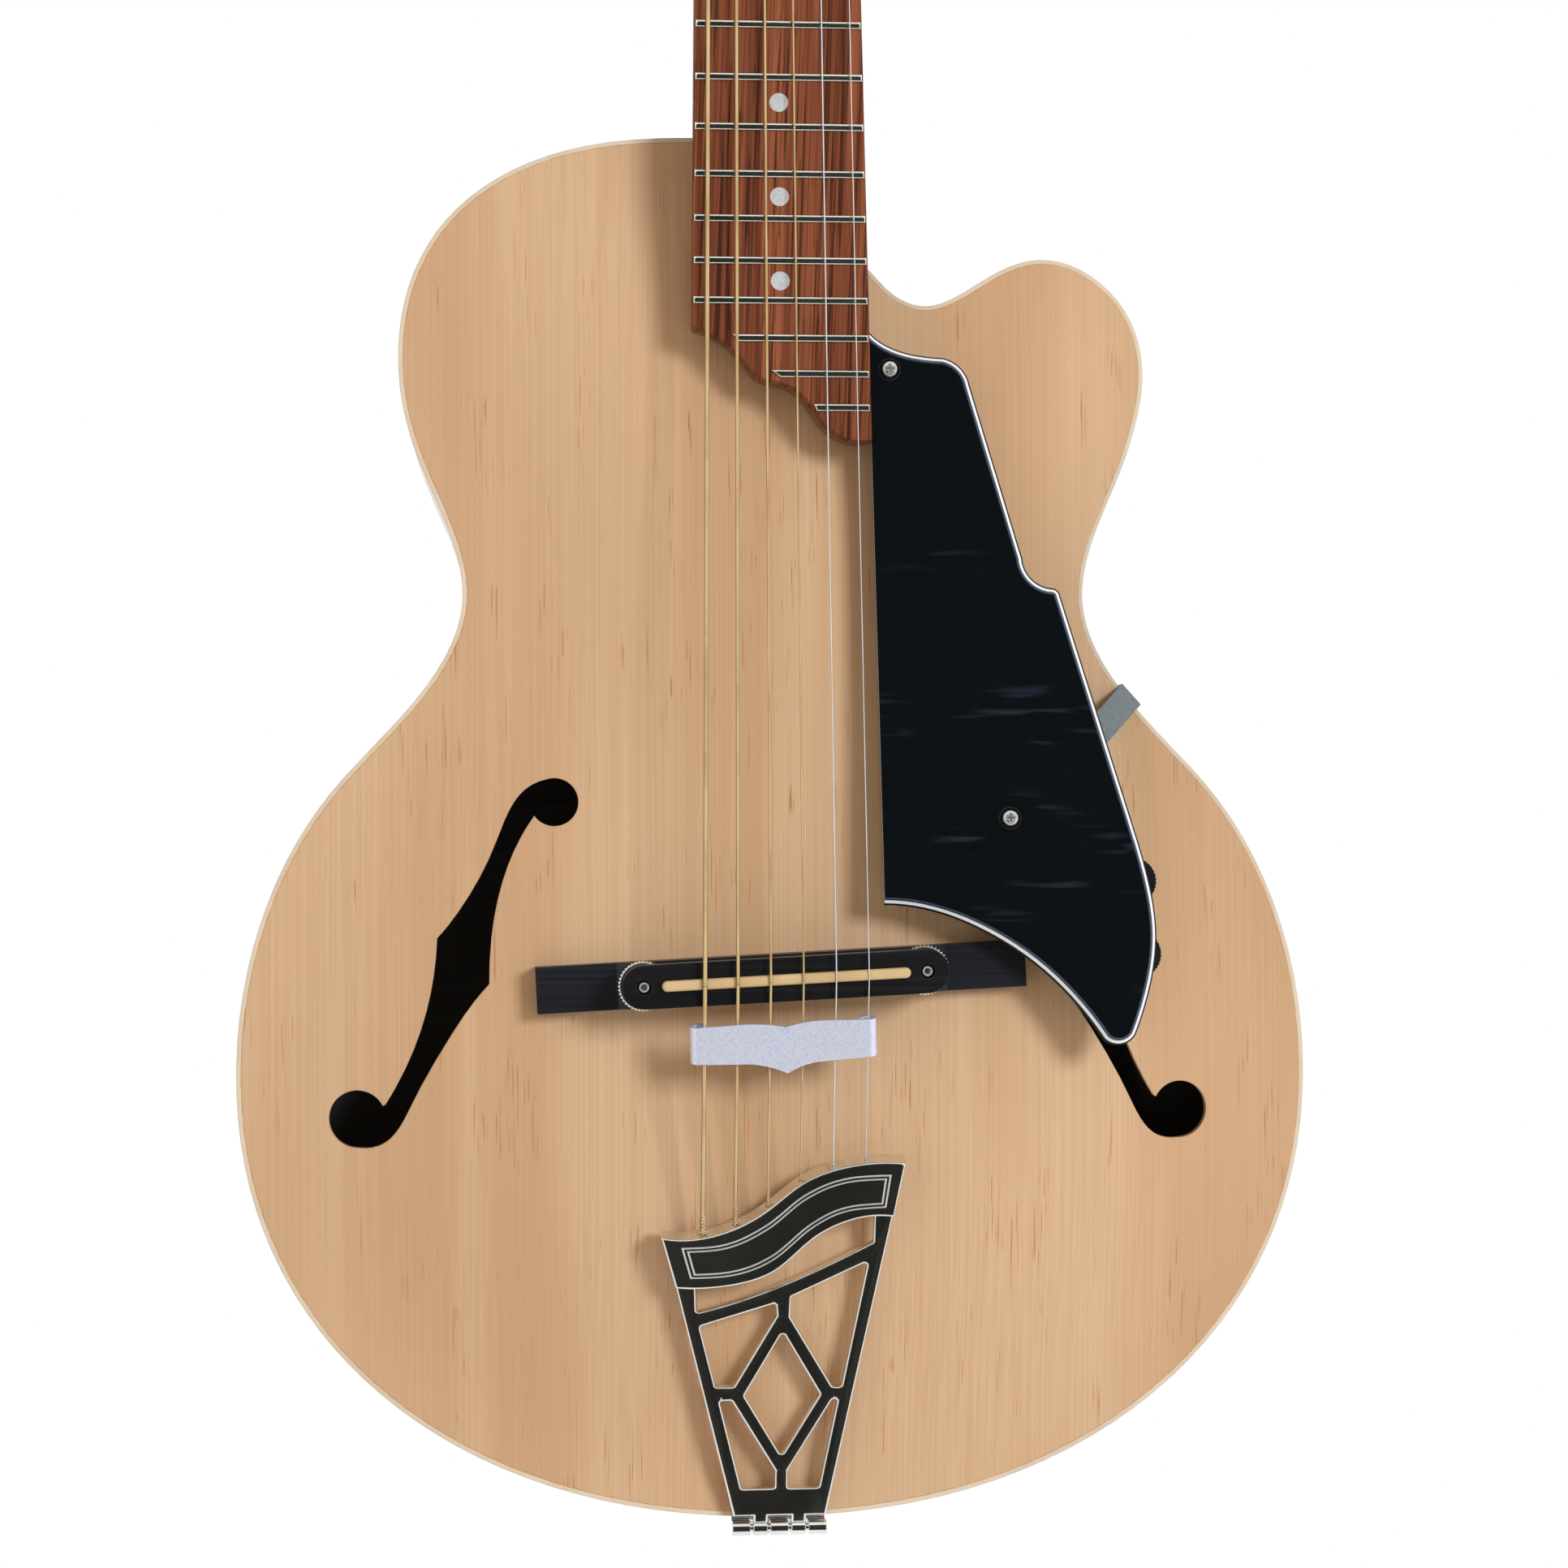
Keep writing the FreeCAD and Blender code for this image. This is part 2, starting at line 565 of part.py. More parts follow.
def shell():
    """Plates, rim, bindings, linings, blocks and tone bars."""
    grid = arch_heights()
    front = arch_face(grid, 0.0, -TOP_ARCH)
    rear = arch_face(grid, RIM_DEPTH, BACK_ARCH)
    low, high = PLATE_THICKNESS, RIM_DEPTH - PLATE_THICKNESS
    tongue = tenon()

    glued = body_outline(PLATE_GLUE_LAND)
    inside_front = front.translated(V(0, PLATE_THICKNESS, 0))
    top = prism(body_outline(BINDING_WIDTH), low + OUT, -OUT).cut(front.extrude(V(0, -2 * OUT, 0)))
    top = top.cut(inside_front.extrude(V(0, OUT, 0)).common(prism(glued, 2 * OUT, -OUT)))
    save("top_plate", top.cut(sound_hole(-1) + sound_hole(1) + [tongue]))

    inside_rear = rear.translated(V(0, -PLATE_THICKNESS, 0))
    back = prism(body_outline(BINDING_WIDTH), OUT + PLATE_THICKNESS, high)
    back = back.cut(rear.extrude(V(0, 2 * OUT, 0)))
    back = back.cut(inside_rear.extrude(V(0, -OUT, 0)).common(prism(glued, 2 * OUT, 0)))
    save("back_plate", back)

    rim = ring(0, RIM_WALL, low, high)
    rim = rim.cut(ring(0, BINDING_WIDTH, low, BINDING_HEIGHT))
    rim = rim.cut(ring(0, BINDING_WIDTH, RIM_DEPTH - BINDING_HEIGHT, high))
    rim = rim.cut(tongue).cut(end_pin_barrel(END_PIN_BARREL_RADIUS, OUT, 10.0))
    save("top_binding", ring(0, BINDING_WIDTH, 0, BINDING_HEIGHT).cut(tongue))
    save("back_binding", ring(0, BINDING_WIDTH, RIM_DEPTH - BINDING_HEIGHT, RIM_DEPTH))

    inner = prism(body_outline(RIM_WALL), high - low, low)
    neck_end = block((-NECK_BLOCK_BASS, OUT), (low, high), (SHOULDER_Z - NECK_BLOCK_LENGTH, SHOULDER_Z))
    cutaway_side = block((HEEL_SEAT_HALF - RIM_WALL, OUT), (low, high), (0, SHOULDER_Z))
    neck_end = neck_end.common(inner).cut(cutaway_side)
    half = TAIL_BLOCK_WIDTH / 2
    tail_end = block((-half, half), (low, high), (TAIL_Z, TAIL_Z + TAIL_BLOCK_LENGTH)).common(inner)
    linings = {}
    for name, start in (("top_lining", low), ("back_lining", high - LINING_HEIGHT)):
        strip = ring(RIM_WALL, RIM_WALL + LINING_WIDTH, start, start + LINING_HEIGHT)
        linings[name] = strip.cut(neck_end).cut(tail_end)
    save("back_lining", linings["back_lining"])
    save("neck_block", neck_end.cut(tongue))
    barrel = end_pin_barrel(END_PIN_BARREL_RADIUS, OUT, 10.0)
    tail_end = tail_end.cut(barrel)

    bars = []
    for side in (-1, 1):
        x = side * TONE_BAR_X
        bar = block((x - TONE_BAR_WIDTH / 2, x + TONE_BAR_WIDTH / 2), (-TOP_ARCH, 0),
                    (TONE_BAR_BOTTOM_Z, TONE_BAR_TOP_Z))
        bars.append(bar.cut(inside_front.extrude(V(0, -OUT, 0))))
    save("tone_bars", *bars)
    return front, rim, tail_end, linings["top_lining"]


# Neck

def board_half(z):
    """Half the fretboard's width at a distance below the nut."""
    grow = (BOARD_WIDTH_AT_END - BOARD_WIDTH_AT_NUT) / BOARD_END_TREBLE
    return (BOARD_WIDTH_AT_NUT + grow * z) / 2


def board_outline(inset=0.0):
    """The fretboard seen from the front, with its stepped wave at the end."""
    bass, treble = BOARD_END_BASS - inset, BOARD_END_TREBLE - inset
    left, right = -board_half(bass) + inset, board_half(treble) - inset
    nut = board_half(0) - inset
    points = [(left, -bass)]
    for across, share in BOARD_END_STEPS:
        points.append((across * right, -bass - share * (treble - bass)))
    points.append((right, -treble))
    ends = flat([(-nut, 0), (nut, 0)])
    wave = flat(points)
    return Part.Wire([line(ends[0], ends[1]), line(ends[1], wave[-1]), curve(wave), line(wave[0], ends[0])])


def fret_z(number):
    """Distance of a fret below the nut."""
    return SCALE_LENGTH * (1 - 2 ** (-number / 12))


def half_loop(half_width, depth, at):
    """A closed half-round section: a flat side and a rounded side, placed by the function at."""
    rounded = []
    for i in range(9):
        a = math.pi * i / 8
        rounded.append(at(half_width * math.cos(a), depth * math.sin(a)))
    return Part.Wire([curve(rounded), line(rounded[-1], rounded[0])])


def neck_shaft():
    """The carved grip from the heel to behind the nut, in the fretboard's frame."""
    join = SCALE_LENGTH - SHOULDER_Z
    sections = []
    for z, grow in ((join, 1.0), (join * 0.55, 0.6), (join * 0.1, 0.1), (-18.0, 0.0)):
        depth = NECK_DEPTH_AT_NUT + grow * (NECK_DEPTH_AT_HEEL - NECK_DEPTH_AT_NUT)
        half = board_half(max(z, 0.0))
        sections.append(half_loop(half, depth, lambda x, y, z=z: V(x, BOARD_THICKNESS + y, -z)))
    return Part.makeLoft(sections, True, False)


def heel():
    """The heel, a half-round block that narrows towards the back, seated on the rim."""
    start = BOARD.multVec(V(0, BOARD_THICKNESS + 1.0, SHOULDER_Z + HEEL_REACH_TOP - SCALE_LENGTH)).y
    end = RIM_DEPTH - HEEL_CAP_THICKNESS
    middle = (HEEL_WIDTH_TOP + 2 * HEEL_WIDTH_END) / 3
    rows = (
        (start, HEEL_WIDTH_TOP, HEEL_REACH_TOP),
        (start + 0.45 * (end - start), middle, HEEL_REACH_MIDDLE),
        (end, HEEL_WIDTH_END, HEEL_REACH_END),
    )
    sections = []
    for depth, width, reach in rows:
        sections.append(half_loop(width / 2, reach, lambda x, z, y=depth: V(x, y, SHOULDER_Z + z)))
    return Part.makeLoft(sections, True, False)


def head_outline(inset=0.0):
    """A plain headstock: flared wings and a shallow rounded top."""
    base, wing, top = HEAD_WIDTH_AT_NUT / 2 - inset, HEAD_WIDTH / 2 - inset, HEAD_WIDTH_AT_TOP / 2 - inset
    flare, shoulder, crest = HEAD_FLARE_Z, HEAD_SIDE_TOP_Z, HEAD_LENGTH - inset
    steps = ((0.0, 0.0), (0.12, 0.35), (0.8, 0.75), (1.0, 1.15))
    side = [(base + share * (wing - base), rise * flare) for share, rise in steps]
    right = flat(side)
    left = flat([(-x, z) for x, z in side])
    corner = V(top, 0, shoulder)
    mirrored = V(-top, 0, shoulder)
    return Part.Wire([
        curve(right), line(right[-1], corner), arc(corner, V(0, 0, crest), mirrored),
        line(mirrored, left[-1]), curve(list(reversed(left))), line(left[0], right[0]),
    ])


def tuner_places():
    """Post places on the headstock, low string first: bass side upwards, then treble side downwards."""
    heights = [TUNER_FIRST_Z + i * TUNER_SPACING for i in range(3)]
    return [(-1, -TUNER_X, z) for z in heights] + [(1, TUNER_X, z) for z in reversed(heights)]


def pocket(depth):
    half = POCKET_WIDTH / 2
    return block((-half, half), (-FACE_THICKNESS, depth), (0.0, POCKET_LENGTH))


def neck_assembly():
    """Neck, fretboard and all that is fixed to them."""
    holes = []
    for _, x, z in tuner_places():
        holes.append(Part.makeCylinder(BUSHING_RADIUS, 2 * OUT, V(x, -OUT, z), V(0, 1, 0)))

    head = prism(head_outline(), HEAD_THICKNESS).cut(holes)
    head_space = prism(head_outline(-OUT), OUT, -OUT)
    shaft = placed(neck_shaft(), BOARD).cut(placed(head_space, HEAD))
    half = board_half(0)
    ledge = block((-half, half), (NUT_DEPTH, BOARD_THICKNESS + 2.0), (0, NUT_THICKNESS))
    extension = prism(board_outline(EXTENSION_INSET), EXTENSION_THICKNESS, BOARD_THICKNESS)
    reach = SCALE_LENGTH - SHOULDER_Z
    extension = extension.cut(block((-OUT, OUT), (0, OUT), (-reach + 2.0, OUT)))
    neck = shaft.fuse([placed(head, HEAD), heel(), placed(extension, BOARD), placed(ledge, BOARD), tenon()])
    neck = neck.cut(placed(pocket(POCKET_DEPTH), HEAD))
    half = ROD_CHANNEL_WIDTH / 2
    rod_end = reach - 20.0
    floor = BOARD_THICKNESS + ROD_CHANNEL_DEPTH
    channel = block((-half, half), (BOARD_THICKNESS / 3, floor), (-rod_end, ROD_NUT_START + ROD_NUT_LENGTH))
    cover_y = -FACE_THICKNESS - COVER_THICKNESS
    screw_holes = [screw_hole(V(x, cover_y, z), V(0, 1, 0), SCREW_LENGTH) for x, z in COVER_SCREWS]
    nut_room = block((-OUT, OUT), (-OUT, NUT_DEPTH), (0, NUT_THICKNESS))
    neck = neck.cut([placed(channel, BOARD), placed(nut_room, BOARD)])
    neck = neck.cut([placed(hole, HEAD) for hole in screw_holes]).removeSplitter()
    save("neck", max(neck.Solids, key=lambda s: s.Volume))

    face = prism(head_outline(), FACE_THICKNESS, -FACE_THICKNESS).cut(holes + screw_holes)
    save("headstock_face", placed(face.cut(pocket(POCKET_DEPTH)), HEAD))
    seat = RIM_DEPTH - HEEL_CAP_THICKNESS
    cap = half_loop(HEEL_WIDTH_END / 2, HEEL_REACH_END, lambda x, z: V(x, seat, SHOULDER_Z + z))
    save("heel_cap", Part.Face(cap).extrude(V(0, HEEL_CAP_THICKNESS, 0)))

    rod_y = BOARD_THICKNESS + ROD_CHANNEL_DEPTH - ROD_RADIUS
    save("truss_rod", placed(rod(V(0, rod_y, -rod_end), V(0, rod_y, ROD_OVER_NUT), ROD_RADIUS), BOARD))
    nut_end = ROD_NUT_START + ROD_NUT_LENGTH
    nut_line = rod(V(0, rod_y, ROD_NUT_START), V(0, rod_y, nut_end), ROD_NUT_RADIUS)
    bore = rod(V(0, rod_y, 0), V(0, rod_y, ROD_OVER_NUT + 0.4), ROD_RADIUS + ROD_CLEARANCE)
    corners = []
    for i in range(6):
        a = i * math.pi / 3
        corners.append(V(ROD_KEY_RADIUS * math.cos(a), rod_y + ROD_KEY_RADIUS * math.sin(a), nut_end - 5.0))
    key = Part.Face(polygon(corners)).extrude(V(0, 0, OUT))
    save("truss_rod_nut", placed(nut_line.cut(bore).cut(key), BOARD))

    cover_points = flat([(-COVER_WIDTH / 2, 1.5), (COVER_WIDTH / 2, 1.5), (COVER_WIDTH / 4, COVER_LENGTH)])
    top = V(0, 0, COVER_LENGTH + COVER_WIDTH / 5)
    left_top = V(-COVER_WIDTH / 4, 0, COVER_LENGTH)
    cover = Part.Wire([
        line(cover_points[0], cover_points[1]), line(cover_points[1], cover_points[2]),
        arc(cover_points[2], top, left_top), line(left_top, cover_points[0]),
    ])
    save("truss_rod_cover", placed(prism(cover, COVER_THICKNESS, cover_y).cut(screw_holes), HEAD))

    save_fretboard()
    save_nut()


def save_fretboard():
    board = prism(board_outline(), BOARD_THICKNESS)
    dots = []
    places = [(number, 0.0) for number in SINGLE_DOT_FRETS]
    places += [(DOUBLE_DOT_FRET, -DOUBLE_DOT_X), (DOUBLE_DOT_FRET, DOUBLE_DOT_X)]
    for number, x in places:
        z = -(fret_z(number) + fret_z(number - 1)) / 2
        dots.append(Part.makeCylinder(DOT_RADIUS, DOT_DEPTH, V(x, 0, z), V(0, 1, 0)))
    for number in SINGLE_DOT_FRETS + (DOUBLE_DOT_FRET,):
        z = (fret_z(number) + fret_z(number - 1)) / 2
        start = V(-board_half(z), BOARD_THICKNESS / 2, -z)
        dots.append(Part.makeCylinder(SIDE_DOT_RADIUS, DOT_DEPTH, start, X_AXIS).common(board))
    board = board.cut(dots)
    save("fretboard", placed(board, BOARD))
    save("dot_inlays", *[placed(dot, BOARD) for dot in dots])

    frets = []
    for number in range(1, FRET_COUNT + 1):
        z = -fret_z(number)
        right = board_half(-z) - FRET_END_INSET
        left, cut_back = CUT_FRETS.get(number, (-right, 0.0))
        half = FRET_WIDTH / 2
        crown = Part.Wire([
            arc(V(left, 0, z - half), V(left, -FRET_HEIGHT, z), V(left, 0, z + half)),
            line(V(left, 0, z + half), V(left, 0, z - half)),
        ])
        fret = Part.Face(crown).extrude(V(right - left, 0, 0))
        if cut_back:
            slant = flat([(left, z + half), (left + cut_back, z - half), (left - half, z - half)])
            fret = fret.cut(prism(polygon(slant), 2 * FRET_HEIGHT, -1.5 * FRET_HEIGHT))
        frets.append(placed(fret, BOARD))
    save("frets", *frets)


def save_nut():
    half = board_half(0)
    nut = block((-half, half), (-NUT_CROWN, NUT_DEPTH), (0, NUT_THICKNESS))
    for i, diameter in enumerate(STRING_DIAMETERS):
        x = string_x(i, SPREAD_AT_NUT)
        width = (diameter + NUT_SLOT_SPARE) / 2
        bottom = -STRING_HEIGHT_AT_NUT + diameter / 2 + STRING_GAP
        nut = nut.cut(block((x - width, x + width), (-OUT, bottom), (-OUT, OUT)))
    nut = placed(nut, BOARD)
    for i in range(STRING_COUNT):
        start, end = string_lead(i)
        nut = nut.cut(placed(rod(start, end, STRING_DIAMETERS[i] / 2 + STRING_GAP), HEAD))
    save("nut", nut)


# Strings

def nut_point(index):
    return BOARD.multVec(V(string_x(index, SPREAD_AT_NUT), -STRING_HEIGHT_AT_NUT, 0))


def crest_point(index):
    """Where a string's centre passes over the saddle."""
    x = string_x(index, SPREAD_AT_BRIDGE)
    z = BRIDGE_Z + x * math.tan(math.radians(BRIDGE_SLANT_DEG))
    return V(x, -(SADDLE_CROWN + STRING_GAP + STRING_DIAMETERS[index] / 2), z)


def bar_top(x):
    """Height of the crossbar's upper edge at x, in the tailpiece plane."""
    upright = line(V(x, 0, -OUT), V(x, 0, 4 * OUT))
    return curve(flat(BAR_UPPER)).distToShape(upright)[1][0][0].z


def ball_place(index):
    x = string_x(index, SPREAD_AT_BRIDGE)
    return V(x, 0, bar_top(x) - BALL_TO_BAR_TOP)


def straight_strings():
    """The sounding lengths, and the tails from the saddle to their ball ends in the crossbar."""
    sounding, tails, balls = [], [], []
    for i, diameter in enumerate(STRING_DIAMETERS):
        nut, crest, ball = nut_point(i), crest_point(i), TAIL.multVec(ball_place(i))
        along = (crest - nut).normalize()
        past_nut = NUT_BREAK - STRING_END_GAP
        sounding.append(rod(nut - along * past_nut, crest - along * STRING_END_GAP, diameter / 2))
        back = (ball - crest).normalize()
        tails.append(rod(crest + back * STRING_END_GAP, ball, diameter / 2))
        balls.append(rod(ball, ball + back * BALL_LENGTH, BALL_RADIUS))
    save("strings", *sounding)
    save("string_tails", *tails)
    save("ball_ends", *balls)


def tangent_arc(start, tangent, end):
    """The arc that leaves start along tangent and reaches end."""
    chord = end - start
    side = chord - tangent * chord.dot(tangent)
    if side.Length < 1e-6:
        return line(start, end)
    side = side.normalize()
    radius = chord.dot(chord) / (2 * chord.dot(side))
    centre = start + side * radius
    middle = (start - centre) + (end - centre)
    if chord.dot(tangent) < 0:
        middle = middle * -1
    return arc(start, centre + middle.normalize() * radius, end)


def biarc(start, start_tangent, end, end_tangent):
    """Two arcs, tangent to each other, from start to end along the given directions."""
    v = end - start
    t = start_tangent + end_tangent
    spare = 2 * (1 - start_tangent.dot(end_tangent))
    d = (-v.dot(t) + math.sqrt(v.dot(t) ** 2 + spare * v.dot(v))) / spare
    joint = (start + start_tangent * d + end - end_tangent * d) / 2
    first = tangent_arc(start, start_tangent, joint)
    second = tangent_arc(end, end_tangent * -1, joint)
    return [first, second]


def winding_reach(index):
    """Radius of a string's centre line round its post."""
    return POST_RADIUS + WINDING_CLEARANCE + STRING_DIAMETERS[index] / 2


def string_lead(index):
    """Where a string leaves the nut and where it meets the inner side of its post, in the headstock frame."""
    side, post_x, post_z = tuner_places()[index]
    leaves = V(string_x(index, SPREAD_AT_NUT), -STRING_HEIGHT_AT_NUT, NUT_BREAK)
    nut = HEAD.inverse().multVec(BOARD.multVec(leaves))
    reach = winding_reach(index)
    dx, dz = post_x - nut.x, post_z - nut.z
    far = math.hypot(dx, dz)
    heading = math.atan2(dz, dx) + side * math.asin(reach / far)
    run = math.sqrt(far * far - reach * reach)
    low = -FACE_THICKNESS - WINDING_OVER_FACE
    return nut, V(nut.x + run * math.cos(heading), low, nut.z + run * math.sin(heading))


def wound_end(index):
    """A string from the nut to its post and round it, as one unbroken tube in the headstock frame."""
    side, post_x, post_z = tuner_places()[index]
    diameter = STRING_DIAMETERS[index]
    reach = winding_reach(index)
    step = diameter + WINDING_SPACE
    nut, touch = string_lead(index)
    low = touch.y
    lead = (touch - nut).normalize()
    first = math.atan2(touch.z - post_z, touch.x - post_x)
    slope = step / (2 * math.pi)

    def on_winding(turn):
        a = first - side * turn
        place = V(post_x + reach * math.cos(a), low - slope * turn, post_z + reach * math.sin(a))
        heading_now = V(side * reach * math.sin(a), -slope, -side * reach * math.cos(a))
        return place, heading_now.normalize()

    edges = [line(nut, touch)]
    here, direction = touch, lead
    points = [here]
    for quarter in range(1, 4 * WINDING_TURNS + 1):
        there, ahead = on_winding(quarter * math.pi / 2)
        edges += biarc(here, direction, there, ahead)
        here, direction = there, ahead
        points.append(here)
    edges.append(line(here, here + direction * diameter))
    spine = Part.Wire(edges)
    ring_wire = Part.Wire(Part.makeCircle(diameter / 2, nut, lead))
    pipe = Part.BRepOffsetAPI.MakePipeShell(spine)
    pipe.add(ring_wire)
    pipe.build()
    pipe.makeSolid()
    gap = min((b - a).Length for a, b in zip(points[1:], points[5:])) - diameter
    return pipe.shape(), gap, spine.Length


def wound_strings():
    tubes = []
    for i in range(STRING_COUNT):
        tube, gap, length = wound_end(i)
        share = tube.Volume / (math.pi * (STRING_DIAMETERS[i] / 2) ** 2 * length)
        print(f"string end {i + 1}: length {length:.0f}, least gap {gap:.2f}, volume share {share:.4f}")
        tubes.append(placed(tube, HEAD))
    save("string_ends", *tubes)


# Tuning machines

def worm_depth():
    """Depth of the gear's middle behind the headstock face."""
    return HEAD_THICKNESS + HOUSING_WALL / 2 + GEAR_THICKNESS / 2 + HOUSING_ROOM


def tuner_button(side, x, z):
    """Button and worm shaft in one, along X under the headstock."""
    depth = worm_depth()
    axis_z = z + GEAR_RADIUS + WORM_RADIUS + GEAR_CLEARANCE
    start = x - side * (WORM_LENGTH / 2)
    edge = side * HEAD_WIDTH / 2
    neck_end = edge + side * BUTTON_GAP
    worm = rod(V(start, depth, axis_z), V(x + side * WORM_LENGTH / 2, depth, axis_z), WORM_RADIUS)
    shaft = rod(V(x, depth, axis_z), V(neck_end + side * 3.0, depth, axis_z), WORM_SHAFT_RADIUS)
    grip_points = []
    for i in range(16):
        a = 2 * math.pi * i / 16
        grip_points.append(V(neck_end + side * (BUTTON_LENGTH / 2 + BUTTON_LENGTH / 2 * math.cos(a)), 0,
                             axis_z + BUTTON_WIDTH / 2 * math.sin(a)))
    loop = Part.BSplineCurve()
    loop.interpolate(Points=grip_points, PeriodicFlag=True)
    grip = prism(Part.Wire(loop.toShape()), BUTTON_THICKNESS, depth - BUTTON_THICKNESS / 2)
    grip = grip.makeFillet(BUTTON_THICKNESS / 3, grip.Edges)
    return worm.fuse([shaft, grip]).removeSplitter()


def tuner_post(x, z):
    """Post with its worm wheel, straight through the headstock, with a cross hole for the string."""
    depth = worm_depth()
    tip = -FACE_THICKNESS - POST_LENGTH_OVER_FACE
    foot = depth + GEAR_THICKNESS / 2
    post = rod(V(x, tip, z), V(x, foot, z), POST_RADIUS)
    gear = rod(V(x, depth - GEAR_THICKNESS / 2, z), V(x, foot, z), GEAR_RADIUS)
    hole = rod(V(x - OUT, tip + 4.0, z), V(x + OUT, tip + 4.0, z), 0.9)
    return post.cut(hole).fuse(gear).removeSplitter()


def tuner_housing(side, x, z):
    """A closed case behind the headstock, open towards the wood, with a hole for the worm shaft."""
    depth = worm_depth()
    room = GEAR_RADIUS + HOUSING_ROOM
    worm_z = GEAR_RADIUS + WORM_RADIUS + GEAR_CLEARANCE
    top = worm_z + WORM_RADIUS + HOUSING_ROOM
    floor = HEAD_THICKNESS + HOUSING_DEPTH - HOUSING_WALL
    wide, back = room + HOUSING_WALL, HEAD_THICKNESS + HOUSING_DEPTH
    outer = block((x - wide, x + wide), (HEAD_THICKNESS, back), (z - wide, z + top + HOUSING_WALL))
    inner = block((x - room, x + room), (HEAD_THICKNESS, floor), (z - room, z + top))
    bore = WORM_SHAFT_RADIUS + RUNNING_CLEARANCE
    worm_end = rod(V(x, depth, z + worm_z), V(x + side * OUT, depth, z + worm_z), bore)
    outer = outer.makeFillet(HOUSING_WALL, [e for e in outer.Edges if abs(e.tangentAt(0).y) > 0.9])
    return outer.cut(inner).cut(worm_end)


def tuner_bushing(x, z):
    bore = POST_RADIUS + RUNNING_CLEARANCE
    front = -FACE_THICKNESS
    flange = rod(V(x, front - BUSHING_FLANGE_HEIGHT, z), V(x, front, z), BUSHING_FLANGE_RADIUS)
    sleeve = rod(V(x, front, z), V(x, HEAD_THICKNESS, z), BUSHING_RADIUS)
    hole = rod(V(x, -OUT, z), V(x, OUT, z), bore)
    return flange.fuse(sleeve).removeSplitter().cut(hole)


def screw(head_at, axis, length):
    """A round-head screw with a cross in its head; head_at is the seat, axis points into the work."""
    axis = axis.normalize()
    head = Part.makeCone(SCREW_HEAD_RADIUS, SCREW_HEAD_RADIUS * 0.7, SCREW_HEAD_HEIGHT, head_at, axis * -1)
    shank = Part.makeCylinder(SCREW_SHANK_RADIUS, length, head_at, axis)
    turn = Rotation(V(0, 0, 1), axis)
    cross = []
    for wide, narrow in ((2.6, 0.7), (0.7, 2.6)):
        bar = block((-wide / 2, wide / 2), (-narrow / 2, narrow / 2), (-2 * SCREW_HEAD_HEIGHT, -0.4))
        cross.append(placed(bar, Placement(head_at, turn)))
    return head.fuse(shank).removeSplitter().cut(cross)


def screw_hole(head_at, axis, length):
    return Part.makeCylinder(SCREW_SHANK_RADIUS, length, head_at, axis.normalize())


def tuning_machines():
    housings, bushings, screws = [], [], []
    for number, (side, x, z) in enumerate(tuner_places(), start=1):
        save(f"tuner_post_{number}", placed(tuner_post(x, z), HEAD))
        save(f"tuner_button_{number}", placed(tuner_button(side, x, z), HEAD))
        housings.append(placed(tuner_housing(side, x, z), HEAD))
        bushings.append(placed(tuner_bushing(x, z), HEAD))
    save("tuner_housings", *housings)
    save("tuner_bushings", *bushings)
    seat = -FACE_THICKNESS - COVER_THICKNESS
    for x, z in COVER_SCREWS:
        screws.append(placed(screw(V(x, seat, z), V(0, 1, 0), SCREW_LENGTH), HEAD))
    save("headstock_screws", *screws)


# Pickguard, its bracket and the controls

def guard_outline():
    def at(*points):
        return flat(points)

    top, shoulder, shoulder_end, step = at(GUARD_TOP, GUARD_SHOULDER, GUARD_SHOULDER_END, GUARD_STEP)
    step_end, corner, side_end, widest = at(GUARD_STEP_END, GUARD_CORNER, GUARD_SIDE_END, GUARD_WIDEST)
    tip_right, tip_left, foot = at(GUARD_TIP_RIGHT, GUARD_TIP_LEFT, GUARD_FOOT)
    upper = [top, top + V(5.0, 0, -4.2), top + V(17.1, 0, -7.9), shoulder]
    belly = [side_end, (side_end + widest) / 2 + V(2.0, 0, -2.4), widest]
    belly += [(widest + tip_right) / 2 + V(1.5, 0, 0), tip_right]
    sweep = foot - tip_left
    tail = []
    for share, rise in ((0.0, 0.0), (0.1, 0.217), (0.296, 0.537), (0.546, 0.802), (0.777, 0.95), (1.0, 1.0)):
        tail.append(tip_left + V(share * sweep.x, 0, rise * sweep.z))
    return Part.Wire([
        curve(upper),
        arc(shoulder, (shoulder + shoulder_end) / 2 + V(1.5, 0, 1.1), shoulder_end),
        line(shoulder_end, step),
        arc(step, (step + step_end) / 2 + V(-1.9, 0, -1.5), step_end),
        arc(step_end, (step_end + corner) / 2 + V(0.5, 0, 0.5), corner),
        line(corner, side_end),
        curve(belly),
        arc(tip_right, (tip_right + tip_left) / 2 + V(0.9, 0, -2.3), tip_left),
        curve(tail),
        line(foot, top),
    ])


def guard_screw(index):
    x, z = GUARD_SCREWS[index]
    return GUARD.multVec(V(x, 0, z))


